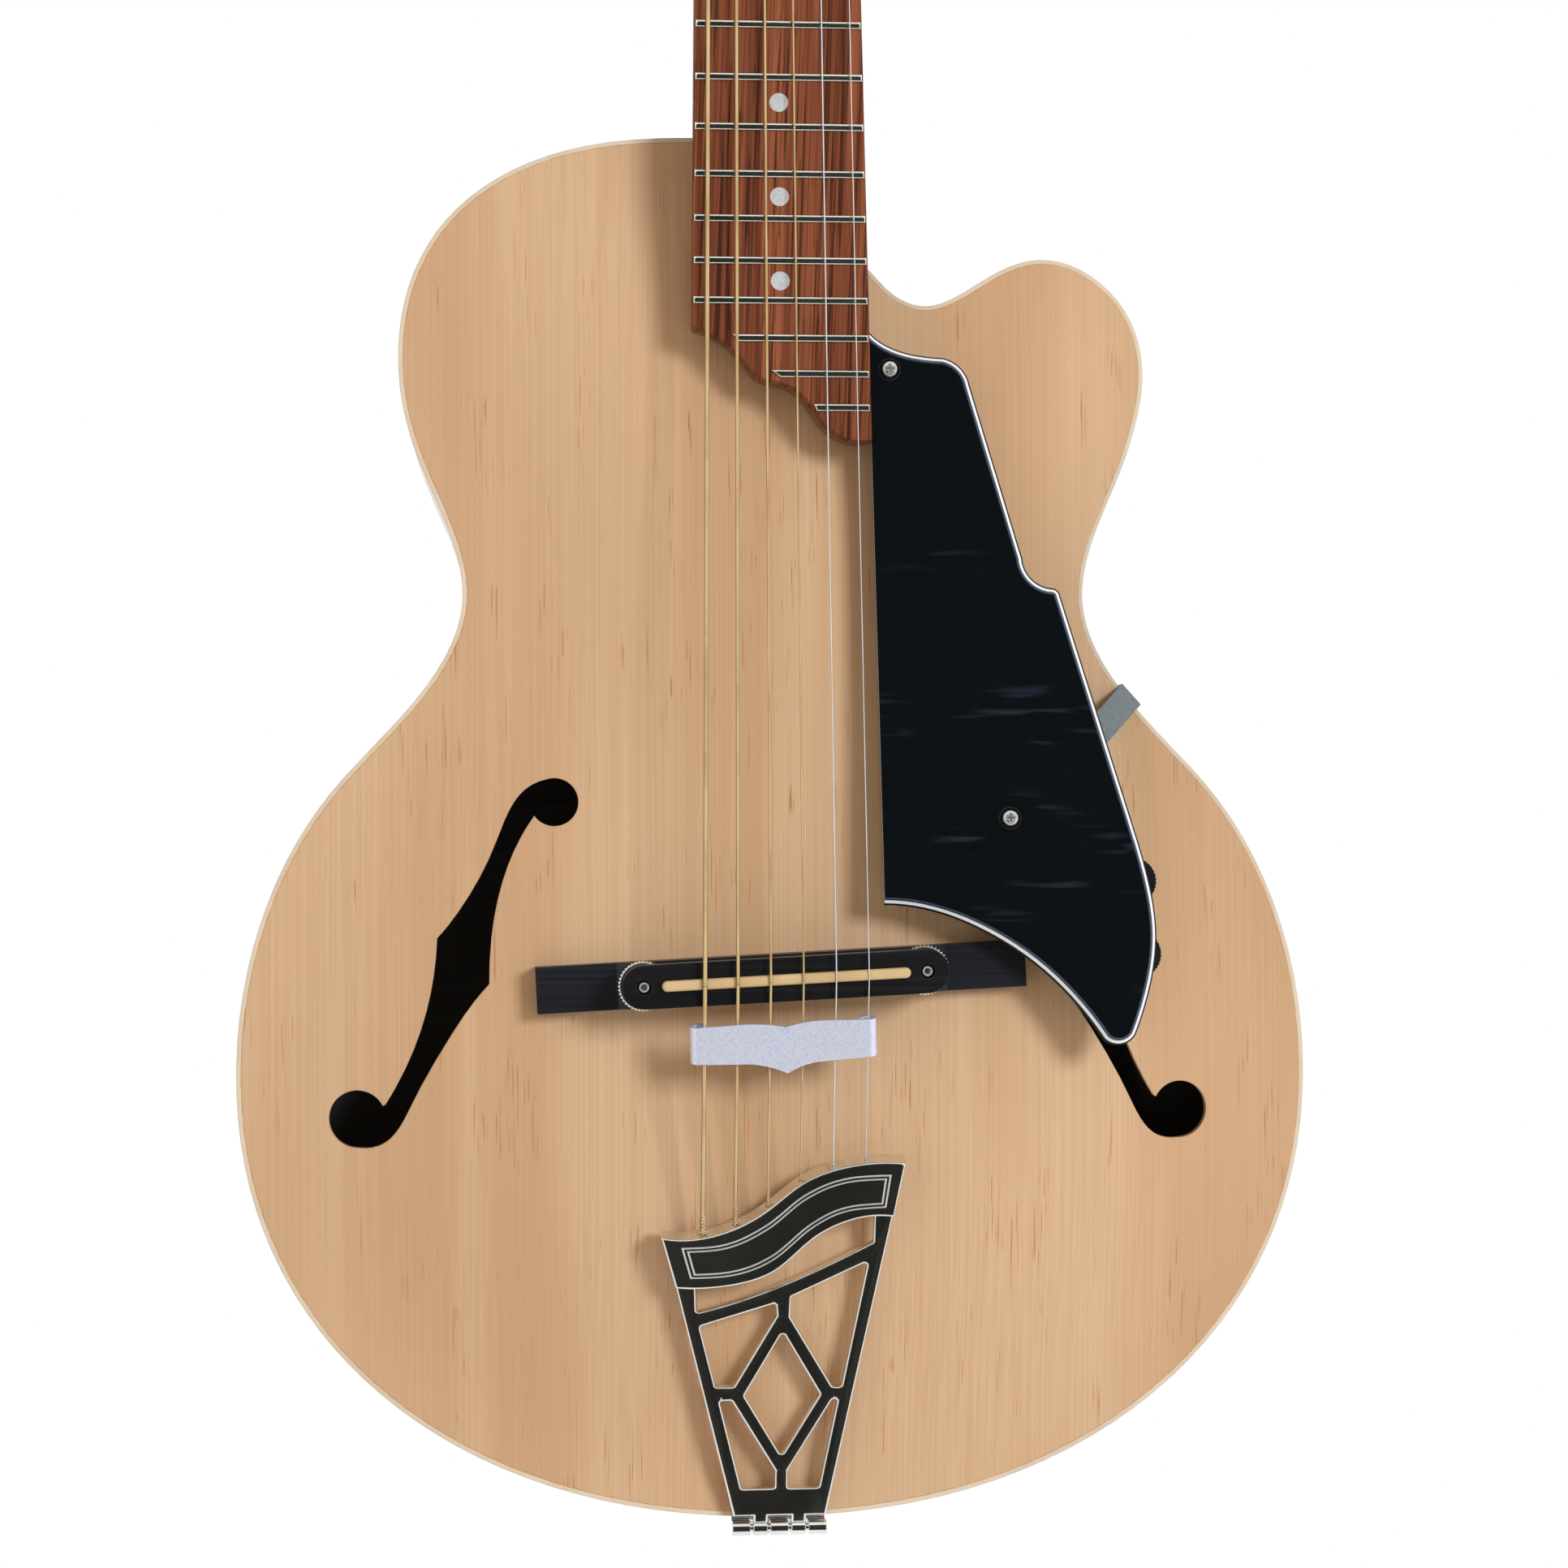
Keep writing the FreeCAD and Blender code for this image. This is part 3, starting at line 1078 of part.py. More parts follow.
def bracket_strip():
    """The metal strip from the pickguard's lower screw to the rim, bent over its edge."""
    x, z = GUARD_SCREWS[1]
    heading = math.radians(BRACKET_HEADING_DEG)
    way = V(math.cos(heading), 0, math.sin(heading))
    ray = line(V(x, 0, z), V(x, 0, z) + way * LOWER_BOUT)
    edge = body_outline().distToShape(ray)[1][0][0]
    run = (edge - V(x, 0, z)).Length + BRACKET_RIM_GAP
    seat = GUARD.multVec(V(x, GUARD_THICKNESS + BRACKET_SEAT_GAP, z)).y
    fall = math.tan(math.radians(BOARD_PITCH)) * way.z

    def under_guard(r):
        return seat + fall * r

    thick = BRACKET_THICKNESS
    tail_y, bend_y = under_guard(-BRACKET_TAIL), under_guard(BRACKET_BEND)
    outer = run + thick
    front = [(-BRACKET_TAIL, tail_y), (BRACKET_BEND, bend_y), (outer, -thick), (outer, BRACKET_DROP)]
    behind = [(run, BRACKET_DROP), (run, 0.0), (BRACKET_BEND - thick / 2, bend_y + thick)]
    behind.append((-BRACKET_TAIL, tail_y + thick))
    across = V(-way.z, 0, way.x)
    start = V(x, 0, z) - across * (BRACKET_WIDTH / 2)
    points = [start + way * r + V(0, y, 0) for r, y in front + behind]
    strip = Part.Face(polygon(points)).extrude(across * BRACKET_WIDTH)
    screw_at = V(x, 0, z) + way * (run + thick) + V(0, BRACKET_DROP * 0.6, 0)
    return strip, screw_at, way * -1


def pickguard_assembly(rim, lining):
    """Pickguard, screws, neck support, bracket, thumbwheels and the board that carries them."""
    guard = prism(guard_outline(), GUARD_THICKNESS)
    normal = GUARD.Rotation.multVec(V(0, 1, 0))
    support_x, support_z = GUARD_SCREWS[0]
    support_top = support_z + SUPPORT_OVER_SCREW
    support = block((support_x - SUPPORT_WIDTH, support_x + SUPPORT_WIDTH / 2),
                    (GUARD_THICKNESS, GUARD_THICKNESS + SUPPORT_THICKNESS),
                    (support_top - SUPPORT_LENGTH, support_top))
    support = placed(support, GUARD)
    neck_side = placed(prism(board_outline(EXTENSION_INSET), 4 * EXTENSION_THICKNESS, 0.0), BOARD)
    support = support.cut(neck_side)
    support = max(support.Solids, key=lambda s: s.BoundBox.XMax)
    strip, rim_screw_at, rim_screw_axis = bracket_strip()

    screws = []
    guard = placed(guard, GUARD)
    for index in range(2):
        hole = screw_hole(guard_screw(index), normal, SCREW_LENGTH)
        guard = guard.cut(hole)
        support = support.cut(hole)
        strip = strip.cut(hole)
        screws.append(screw(guard_screw(index), normal, SCREW_LENGTH))
    hole = screw_hole(rim_screw_at, rim_screw_axis, SCREW_LENGTH - 1.0)
    strip = strip.cut(hole)
    rim = rim.cut(hole)
    save("top_lining", lining.cut(hole))
    screws.append(screw(rim_screw_at, rim_screw_axis, SCREW_LENGTH - 1.0))
    save("pickguard", guard)
    save("pickguard_screws", *screws)
    save("pickguard_support", support)
    save("pickguard_bracket", strip)

    wheel_start = GUARD_THICKNESS + CONTROL_GAP
    plate_start = wheel_start + CONTROL_THICKNESS + CONTROL_GAP
    pot_start = plate_start + BOARD_PLATE_THICKNESS
    fixed = []
    for name, (x, z) in zip(("volume_wheel", "tone_wheel"), CONTROL_CENTRES):
        wheel = Part.makeCylinder(CONTROL_RADIUS, CONTROL_THICKNESS, V(x, wheel_start, z), V(0, 1, 0))
        grooves = []
        for i in range(CONTROL_RIB_COUNT):
            a = 2 * math.pi * i / CONTROL_RIB_COUNT
            centre = V(x + CONTROL_RADIUS * math.cos(a), wheel_start - 1.0, z + CONTROL_RADIUS * math.sin(a))
            grooves.append(Part.makeCylinder(CONTROL_GROOVE, CONTROL_THICKNESS + 2.0, centre, V(0, 1, 0)))
        shaft_end = pot_start + POT_HEIGHT - 1.5
        shaft = rod(V(x, wheel_start, z), V(x, shaft_end, z), POT_SHAFT_RADIUS)
        save(name, placed(wheel.cut(grooves).fuse(shaft).removeSplitter(), GUARD))
        pot = Part.makeCylinder(POT_RADIUS, POT_HEIGHT, V(x, pot_start, z), V(0, 1, 0))
        bore_radius = POT_SHAFT_RADIUS + RUNNING_CLEARANCE
        bore = rod(V(x, pot_start, z), V(x, shaft_end + CONTROL_GAP / 2, z), bore_radius)
        fixed.append(pot.cut(bore))
    (first_x, first_z), (last_x, last_z) = CONTROL_CENTRES
    inner_x = min(first_x, last_x) - STANDOFF_INSET
    outer_x = max(first_x, last_x) + POT_RADIUS
    ends = (last_z - POT_RADIUS, first_z + POT_RADIUS)
    plate = block((inner_x - POT_RADIUS, outer_x), (plate_start, pot_start), ends)
    for x, z in CONTROL_CENTRES:
        plate = plate.cut(Part.makeCylinder(POT_SHAFT_RADIUS + 0.5, OUT, V(x, 0, z), V(0, 1, 0)))
    for z in (last_z, first_z):
        plate = plate.fuse(rod(V(inner_x, GUARD_THICKNESS, z), V(inner_x, plate_start, z), STANDOFF_RADIUS))
    board = plate.fuse(fixed).removeSplitter()
    save("control_board", placed(board, GUARD))
    return rim


# Bridge

def post_places():
    return [BRIDGE.multVec(V(side * POST_SPACING / 2, 0, 0)) for side in (-1, 1)]


def stadium(length, width):
    """A closed outline with round ends, along X in the bridge's frame."""
    r = width / 2
    half = length / 2 - r
    a, b, c, d = flat([(-half, r), (half, r), (half, -r), (-half, -r)])
    return Part.Wire([line(a, b), arc(b, V(half + r, 0, 0), c), line(c, d), arc(d, V(-half - r, 0, 0), a)])


def bridge_wheel(centre):
    """A knurled thumbwheel on its threaded post."""
    start = centre + V(0, -SADDLE_TOP_FRONT + SADDLE_TOP_THICKNESS, 0)
    wheel = Part.makeCylinder(WHEEL_RADIUS, WHEEL_THICKNESS, start, V(0, 1, 0))
    bore = Part.makeCylinder(BRIDGE_POST_RADIUS + RUNNING_CLEARANCE, WHEEL_THICKNESS, start, V(0, 1, 0))
    notches = []
    for i in range(WHEEL_KNURLS):
        a = 2 * math.pi * i / WHEEL_KNURLS
        at = start + V(WHEEL_RADIUS * math.cos(a), -1.0, WHEEL_RADIUS * math.sin(a))
        notches.append(Part.makeCylinder(KNURL_DEPTH, WHEEL_THICKNESS + 2.0, at, V(0, 1, 0)))
    return wheel.cut(bore).cut(notches)


def bridge(front):
    half, middle = BASE_LENGTH / 2, BASE_MIDDLE_LENGTH / 2
    top, end = -BASE_TOP, -BASE_TOP + BASE_END_DROP
    profile = [(-half, OUT / 4), (-half, end), (-middle - BASE_RAMP, end), (-middle, top),
               (middle, top), (middle + BASE_RAMP, end), (half, end), (half, OUT / 4)]
    wire = polygon([V(x, y, -BASE_WIDTH / 2) for x, y in profile])
    base = Part.Face(wire).extrude(V(0, 0, BASE_WIDTH))
    base = placed(base, BRIDGE).cut(front.extrude(V(0, 2 * OUT, 0)))
    posts = []
    for centre in post_places():
        start = centre + V(0, -SADDLE_TOP_FRONT + POST_TIP_SINK, 0)
        post = rod(start, centre + V(0, top + POST_SINK, 0), BRIDGE_POST_RADIUS)
        base = base.cut(post)
        socket = Part.makeCylinder(0.9, 1.6, start, V(0, 1, 0))
        posts.append(post.cut(socket))
    save("bridge_base", base)
    save("bridge_posts", *posts)

    outline = stadium(POST_SPACING + SADDLE_TOP_WIDTH, SADDLE_TOP_WIDTH)
    upper = placed(prism(outline, SADDLE_TOP_THICKNESS, -SADDLE_TOP_FRONT), BRIDGE)
    for centre in post_places():
        upper = upper.cut(Part.makeCylinder(POST_HOLE_RADIUS, 2 * OUT, centre - V(0, OUT, 0), V(0, 1, 0)))
    slot = stadium(SADDLE_LENGTH, SADDLE_THICKNESS)
    bottom = -SADDLE_TOP_FRONT + SADDLE_SLOT_DEPTH
    saddle = prism(slot, bottom + SADDLE_CROWN, -SADDLE_CROWN)
    save("bridge_top", upper.cut(placed(saddle, BRIDGE)))
    crown = [e for e in saddle.Edges if e.BoundBox.YMax < -SADDLE_CROWN + 0.01]
    save("saddle", placed(saddle.makeFillet(SADDLE_ROUND, crown), BRIDGE))
    for name, centre in zip(("bridge_wheel_bass", "bridge_wheel_treble"), post_places()):
        save(name, bridge_wheel(centre))


# Tailpiece

def knuckles(outer):
    """The hinge barrels along X at the origin: the plate's outer set or the frame's inner set."""
    a, b, c, d = KNUCKLE_EDGES
    spans = [(-BARREL_HALF, -d), (-a, a), (d, BARREL_HALF)] if outer else [(-c, -b), (b, c)]
    clearance = 0.0 if outer else RUNNING_CLEARANCE
    barrels = []
    for start, end in spans:
        barrel = rod(V(start, 0, 0), V(end, 0, 0), BARREL_RADIUS)
        barrels.append((start, end, barrel.cut(rod(V(start, 0, 0), V(end, 0, 0), PIN_RADIUS + clearance))))
    return barrels


def window(wire):
    """The tool that cuts one opening with rounded corners through the lattice."""
    tool = prism(wire, 2 * FRAME_THICKNESS, -FRAME_THICKNESS)
    corners = [edge for edge in tool.Edges if edge.BoundBox.YLength > FRAME_THICKNESS]
    return tool.makeFillet(WINDOW_ROUND, corners)


def tailpiece_frame():
    """The flat lattice between the hinge and the crossbar."""
    half = FRAME_THICKNESS / 2
    left, right = flat([(-FRAME_FOOT_HALF, FRAME_FOOT_Z), (FRAME_FOOT_HALF, FRAME_FOOT_Z)])
    lower = flat(BAR_LOWER)
    wave = curve(list(reversed(lower)))
    wire = Part.Wire([line(left, right), line(right, lower[-1]), wave, line(lower[0], left)])
    frame = prism(wire, FRAME_THICKNESS, -half)
    rail = flat(RAIL_UPPER)
    ends = [lower[0] + V(FRAME_ARM, 0, FRAME_ARM), lower[-1] + V(-FRAME_ARM, 0, FRAME_ARM)]
    sides = [line(rail[-1], ends[1]), line(ends[1], ends[0]), line(ends[0], rail[0])]
    frame = frame.cut(window(Part.Wire([curve(rail)] + sides)))
    for points in WINDOWS.values():
        frame = frame.cut(window(polygon(flat(points))))
    for start, end, barrel in knuckles(False):
        leaf = block((start, end), (-half, half), (0, FRAME_FOOT_Z + 1.0))
        leaf = leaf.cut(rod(V(start, 0, 0), V(end, 0, 0), PIN_RADIUS + RUNNING_CLEARANCE))
        frame = frame.fuse([barrel, leaf])
    return frame.removeSplitter()


def crossbar():
    """The thick wavy bar that holds the strings, with a hole and a seat for each ball end."""
    upper, lower = flat(BAR_UPPER), flat(BAR_LOWER)
    right, left = line(lower[-1], upper[-1]), line(upper[0], lower[0])
    wire = Part.Wire([curve(lower), right, curve(list(reversed(upper))), left])
    bar = prism(wire, BAR_THICKNESS, -BAR_THICKNESS / 2)
    for i, diameter in enumerate(STRING_DIAMETERS):
        ball = ball_place(i)
        bar = bar.cut(rod(ball, ball + V(0, 0, OUT), diameter / 2 + STRING_HOLE_CLEARANCE))
        seat = ball + V(0, 0, BALL_CLEARANCE)
        bar = bar.cut(rod(seat, seat - V(0, 0, OUT), BALL_RADIUS + BALL_CLEARANCE))
    return bar


def tail_assembly(rim, tail_end):
    save("tailpiece_frame", placed(tailpiece_frame(), TAIL))
    save("tailpiece_crossbar", placed(crossbar(), TAIL))

    plate = ring(-PLATE_METAL, 0, PLATE_START, PLATE_START + PLATE_LENGTH)
    plate = plate.common(block((-BARREL_HALF, BARREL_HALF), (-OUT, 2 * OUT), (TAIL_Z - OUT, TAIL_Z + OUT)))
    plate = plate.cut(end_pin_barrel(END_PIN_BARREL_RADIUS, OUT, OUT / 2))
    hinge = V(0, HINGE_Y, HINGE_Z)
    for start, end, barrel in knuckles(True):
        tab = block((start, end), (HINGE_Y, PLATE_START + 1.0), (HINGE_Z - 1.0, TAIL_Z - PLATE_METAL + 0.4))
        tab = tab.cut(rod(hinge + V(start, 0, 0), hinge + V(end, 0, 0), PIN_RADIUS))
        plate = plate.fuse([barrel.translated(hinge), tab])
    plate = plate.removeSplitter()
    screws = []
    for x, y in TAIL_SCREWS:
        seat = V(x, y, TAIL_Z - PLATE_METAL)
        screws.append(screw(seat, V(0, 0, 1), TAIL_SCREW_LENGTH))
        hole = screw_hole(seat, V(0, 0, 1), TAIL_SCREW_LENGTH)
        plate, rim, tail_end = plate.cut(hole), rim.cut(hole), tail_end.cut(hole)
    save("hinge_plate", plate)
    save("tail_screws", *screws)
    save("hinge_pin", rod(hinge - V(BARREL_HALF, 0, 0), hinge + V(BARREL_HALF, 0, 0), PIN_RADIUS))
    save("rim_sides", rim)
    save("tail_block", tail_end)


def end_pin():
    """The strap pin with the output socket in it, along Z through the tail block."""
    outside = TAIL_Z - PLATE_METAL
    steps = [
        (END_PIN_BARREL_RADIUS, outside + END_PIN_INSIDE, outside),
        (END_PIN_FLANGE_RADIUS, outside, outside - END_PIN_FLANGE),
        (STRAP_NECK_RADIUS, outside - END_PIN_FLANGE, outside - END_PIN_FLANGE - STRAP_NECK_LENGTH),
    ]
    pieces = [rod(V(0, END_PIN_Y, a), V(0, END_PIN_Y, b), r) for r, a, b in steps]
    head_z = steps[-1][2]
    head = rod(V(0, END_PIN_Y, head_z), V(0, END_PIN_Y, head_z - STRAP_HEAD_LENGTH), STRAP_HEAD_RADIUS)
    head = head.makeFillet(STRAP_HEAD_LENGTH / 3, head.Edges)
    pin = pieces[0].fuse(pieces[1:] + [head]).removeSplitter()
    mouth = head_z - STRAP_HEAD_LENGTH
    depth = outside + END_PIN_INSIDE - 4.0 - mouth
    pin = pin.cut(Part.makeCylinder(SOCKET_RADIUS, depth, V(0, END_PIN_Y, mouth), V(0, 0, 1)))
    save("end_pin", pin)


def string_clip():
    """The bent metal clip over the string tails, hooked round the outer strings."""
    highest = 0.0
    for i, diameter in enumerate(STRING_DIAMETERS):
        highest = max(highest, diameter / 2 - TAIL.inverse().multVec(crest_point(i)).y)
    front = -highest - CLIP_GAP - CLIP_THICKNESS
    upper, lower = flat(CLIP_UPPER), flat(CLIP_LOWER)
    u_left, u_a, u_dip, u_b, u_right = upper
    l_left, l_a, l_tip, l_b, l_right = lower
    wire = Part.Wire([
        line(u_left, u_a), curve([u_a, (u_a + u_dip) / 2 + V(0, 0, 0.4), u_dip]),
        curve([u_dip, (u_dip + u_b) / 2 + V(0, 0, 0.4), u_b]), line(u_b, u_right), line(u_right, l_right),
        line(l_right, l_b), curve([l_b, (l_b + l_tip) / 2 + V(0, 0, 0.5), l_tip]),
        curve([l_tip, (l_tip + l_a) / 2 + V(0, 0, 0.5), l_a]), line(l_a, l_left), line(l_left, u_left),
    ])
    clip = prism(wire, CLIP_THICKNESS, front)
    for side, low, high in ((-1, l_left.z, u_left.z), (1, l_right.z, u_right.z)):
        centre = V(side * CLIP_HALF, front + CLIP_CURL_RADIUS, low)
        curl = Part.makeCylinder(CLIP_CURL_RADIUS, high - low, centre)
        curl = curl.cut(Part.makeCylinder(CLIP_CURL_RADIUS - CLIP_THICKNESS, high - low, centre))
        inner = block((-OUT, side * CLIP_HALF) if side > 0 else (side * CLIP_HALF, OUT),
                      (-OUT, centre.y), (low - 1.0, high + 1.0))
        clip = clip.fuse(curl.cut(inner))
    clip = clip.removeSplitter()
    spin = Placement(V(CLIP_CENTRE[0], 0, CLIP_CENTRE[1]), Rotation(V(0, 1, 0), -CLIP_TILT_DEG))
    save("string_damper", placed(placed(clip, spin), TAIL))


os.makedirs("parts", exist_ok=True)
arched_front, open_rim, open_tail_block, front_lining = shell()
neck_assembly()
straight_strings()
wound_strings()
tuning_machines()
bridge(arched_front)
open_rim = pickguard_assembly(open_rim, front_lining)
tail_assembly(open_rim, open_tail_block)
end_pin()
string_clip()
print(len(NODE_NAMES), "nodes")
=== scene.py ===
"""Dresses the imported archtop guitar: finishes, layered pickguard, engraved tailpiece, light and camera."""
import json
import logging
import math
from dataclasses import dataclass
from enum import Enum
from typing import ClassVar

import bmesh
import bpy
from mathutils import Matrix, Vector

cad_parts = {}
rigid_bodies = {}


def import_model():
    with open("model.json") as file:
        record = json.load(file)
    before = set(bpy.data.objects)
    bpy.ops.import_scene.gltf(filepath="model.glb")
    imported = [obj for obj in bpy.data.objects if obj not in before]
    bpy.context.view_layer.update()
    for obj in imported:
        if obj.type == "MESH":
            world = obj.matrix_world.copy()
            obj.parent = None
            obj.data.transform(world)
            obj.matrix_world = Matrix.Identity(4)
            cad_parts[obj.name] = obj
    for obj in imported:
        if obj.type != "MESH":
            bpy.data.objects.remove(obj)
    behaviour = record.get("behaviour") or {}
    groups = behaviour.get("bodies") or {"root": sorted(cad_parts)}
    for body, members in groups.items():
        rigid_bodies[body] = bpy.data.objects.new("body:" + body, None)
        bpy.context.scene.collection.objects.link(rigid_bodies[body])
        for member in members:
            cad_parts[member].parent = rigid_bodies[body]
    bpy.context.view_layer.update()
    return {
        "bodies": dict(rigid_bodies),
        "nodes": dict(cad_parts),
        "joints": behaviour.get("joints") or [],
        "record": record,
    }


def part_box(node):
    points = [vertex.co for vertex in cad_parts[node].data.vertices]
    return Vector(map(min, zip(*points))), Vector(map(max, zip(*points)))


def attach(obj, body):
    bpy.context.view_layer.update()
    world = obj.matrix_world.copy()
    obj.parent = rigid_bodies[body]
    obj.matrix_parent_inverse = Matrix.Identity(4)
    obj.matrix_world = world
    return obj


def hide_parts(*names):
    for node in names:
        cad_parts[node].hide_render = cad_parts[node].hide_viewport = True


Triple = tuple[float, float, float]
Colour = Triple
Point = tuple[float, float]
Points = list[Vector]
Socket = bpy.types.NodeSocket
Material = bpy.types.Material
Mesh = bmesh.types.BMesh
Ring = list[bmesh.types.BMVert]

LOG = logging.getLogger("guitar")
MM = 0.001
# Points nearer to each other than WELD are one, and points nearer to a plane than FLAT lie on it, in metres.
WELD = 1e-7
FLAT = 1e-5
# From the hollows of a noise to its crests.
SPREAD: Point = (0.3, 0.7)
WHITE: Colour = (1.0, 1.0, 1.0)
# How far the board and the pickguard lean.
BOARD_PITCH = math.radians(-3.10899)
# The strings over the saddle, in millimetres: their diameters from the lowest to the highest, the gap between
# two of them, how far the saddle rises from one to the next, and the middle of its crest along Y and Z.
GAUGES: tuple[float, ...] = (1.35, 1.07, 0.81, 0.61, 0.43, 0.33)
STRING_GAP = 10.0
SADDLE_RISE = 0.496
SADDLE_CREST: Point = (-53.341, -644.028)


def srgb(red: int, green: int, blue: int) -> Colour:
    """Turns a colour as seen on a screen into the shader's linear values, by the standard's formula.

    Args:
        red: Red from 0 to 255.
        green: Green from 0 to 255.
        blue: Blue from 0 to 255.

    Returns:
        The three linear values.
    """
    values = []
    for level in (red, green, blue):
        share = level / 255
        values.append(share / 12.92 if share <= 0.04045 else ((share + 0.055) / 1.055) ** 2.4)
    return (values[0], values[1], values[2])


class Grain(Enum):
    """How the wood's lines run, as noise cells per metre along X, Y and Z."""

    UPRIGHT = (1250.0, 110.0, 4.0)
    BOARD = (1150.0, 120.0, 7.0)
    ACROSS = (14.0, 700.0, 700.0)
    RIM = (90.0, 7.0, 90.0)
    RIBBED = (9.0, 9.0, 105.0)


class Ply(Enum):
    """The pickguard's finishes, by their place in its list of materials."""

    FRONT = 0
    WHITE = 1
    EDGE = 2
    # The bevel's finish is blue-grey: a painted reflection on the black ply.
    BEVEL = 3


class Own(Enum):
    """What a finish may know of the surface in the object's own frame."""

    PLACE = "Object"
    NORMAL = "Normal"


class Nodes:
    """A node tree, with short calls for its nodes."""

    # Places of the Mix node's colour sockets.
    MIX_SHARE, MIX_FIRST, MIX_SECOND, MIX_RESULT = 0, 6, 7, 2

    def __init__(self, tree: bpy.types.NodeTree) -> None:
        """Empties the tree.

        Args:
            tree: The tree of a material or of the world.
        """
        self.tree = tree
        tree.nodes.clear()

    def feed(self, socket: Socket, value: object) -> None:
        """Links an output to a socket, or writes a plain value on it.

        Args:
            socket: The socket to fill.
            value: A node's output, a number or a colour.
        """
        if isinstance(value, Socket):
            self.tree.links.new(value, socket)
        elif isinstance(value, tuple) and len(value) == 3 and socket.type == "RGBA":
            socket.default_value = (*value, 1.0)
        else:
            socket.default_value = value

    def node(self, kind: str, **inputs: object) -> bpy.types.Node:
        """Adds a node and fills its inputs.

        Args:
            kind: Its type, without the words that every shader node's type starts with.
            inputs: Values of its inputs, named with underscores for spaces.

        Returns:
            The new node.
        """
        node = self.tree.nodes.new("ShaderNode" + kind)
        for name, value in inputs.items():
            self.feed(node.inputs[name.replace("_", " ")], value)
        return node

    def math(self, operation: str, first: object, second: object) -> Socket:
        """One arithmetic step.

        Args:
            operation: Name of the step.
            first: A node's output or a number.
            second: Another one.

        Returns:
            The result's socket.
        """
        node = self.node("Math")
        node.operation = operation
        self.feed(node.inputs[0], first)
        self.feed(node.inputs[1], second)
        return node.outputs[0]

    def mix(self, share: object, first: object, second: object) -> Socket:
        """Blends two colours.

        Args:
            share: How much of the second one shows.
            first: A node's output or a colour.
            second: Another one.

        Returns:
            The blend's socket.
        """
        node = self.node("Mix")
        node.data_type = "RGBA"
        self.feed(node.inputs[self.MIX_SHARE], share)
        self.feed(node.inputs[self.MIX_FIRST], first)
        self.feed(node.inputs[self.MIX_SECOND], second)
        return node.outputs[self.MIX_RESULT]


class Graph(Nodes):
    """One material's node tree, round a Principled shader."""

    EDGE_SAMPLES = 6

    def __init__(self, name: str) -> None:
        """Starts a material with an empty shader.

        Args:
            name: Name of the material.
        """
        self.material = bpy.data.materials.new(name)
        self.material.use_nodes = True
        super().__init__(self.material.node_tree)
        self.shader = self.node("BsdfPrincipled")
        self.node("OutputMaterial", Surface=self.shader.outputs["BSDF"])

    def set(self, **values: object) -> None:
        """Fills the shader's sockets, named with underscores for spaces."""
        for name, value in values.items():
            self.feed(self.shader.inputs[name.replace("_", " ")], value)

    def own(self, kind: Own, letter: str) -> Socket:
        """One component of the surface's place in metres or of its normal.

        Args:
            kind: Which of the two.
            letter: The component's axis.

        Returns:
            The component's socket.
        """
        split = self.node("SeparateXYZ", Vector=self.node("TexCoord").outputs[kind.value])
        return split.outputs[letter]

    def noise(self, scale: Triple, detail: float = 3.0, warp: float = 0.0, slant: float = 0.0) -> Socket:
        """Noise with its own cell size along each axis.

        Args:
            scale: Cells per metre along X, Y and Z.
            detail: How many finer layers it has.
            warp: How far it is distorted.
            slant: Angle in radians by which it leans from the upright, about Y.

        Returns:
            The noise's value socket.
        """
        mapping = self.node("Mapping", Vector=self.node("TexCoord").outputs["Object"],
                            Rotation=(0.0, slant, 0.0), Scale=tuple(1.0 / cells for cells in scale))
        mapping.vector_type = "TEXTURE"
        node = self.node("TexNoise", Vector=mapping.outputs["Vector"], Scale=1.0, Detail=detail,
                         Distortion=warp)
        return node.outputs["Fac"]

    def ramp(self, value: object, low: float, high: float, start: float = 0.0, end: float = 1.0) -> Socket:
        """Maps a value from one range to another, smoothly and held at both ends.

        Args:
            value: A node's output or a number.
            low: Value that gives start.
            high: Value that gives end.
            start: Result at and below low.
            end: Result at and above high.

        Returns:
            The result's socket.
        """
        node = self.node("MapRange", Value=value, From_Min=low, From_Max=high, To_Min=start, To_Max=end)
        node.interpolation_type = "SMOOTHSTEP"
        return node.outputs["Result"]

    def relief(self, height: Socket, depth: float, edge: float = 0.0) -> None:
        """Bumps the surface, and softens its edges where edge is a radius.

        Args:
            height: The pattern of the relief.
            depth: Its depth in metres.
            edge: Radius of softened edges in metres, or nothing.
        """
        bump = self.node("Bump", Strength=1.0, Distance=depth, Height=height)
        if edge:
            soft = self.node("Bevel", Radius=edge)
            soft.samples = self.EDGE_SAMPLES
            self.feed(bump.inputs["Normal"], soft.outputs["Normal"])
        self.set(Normal=bump.outputs["Normal"])


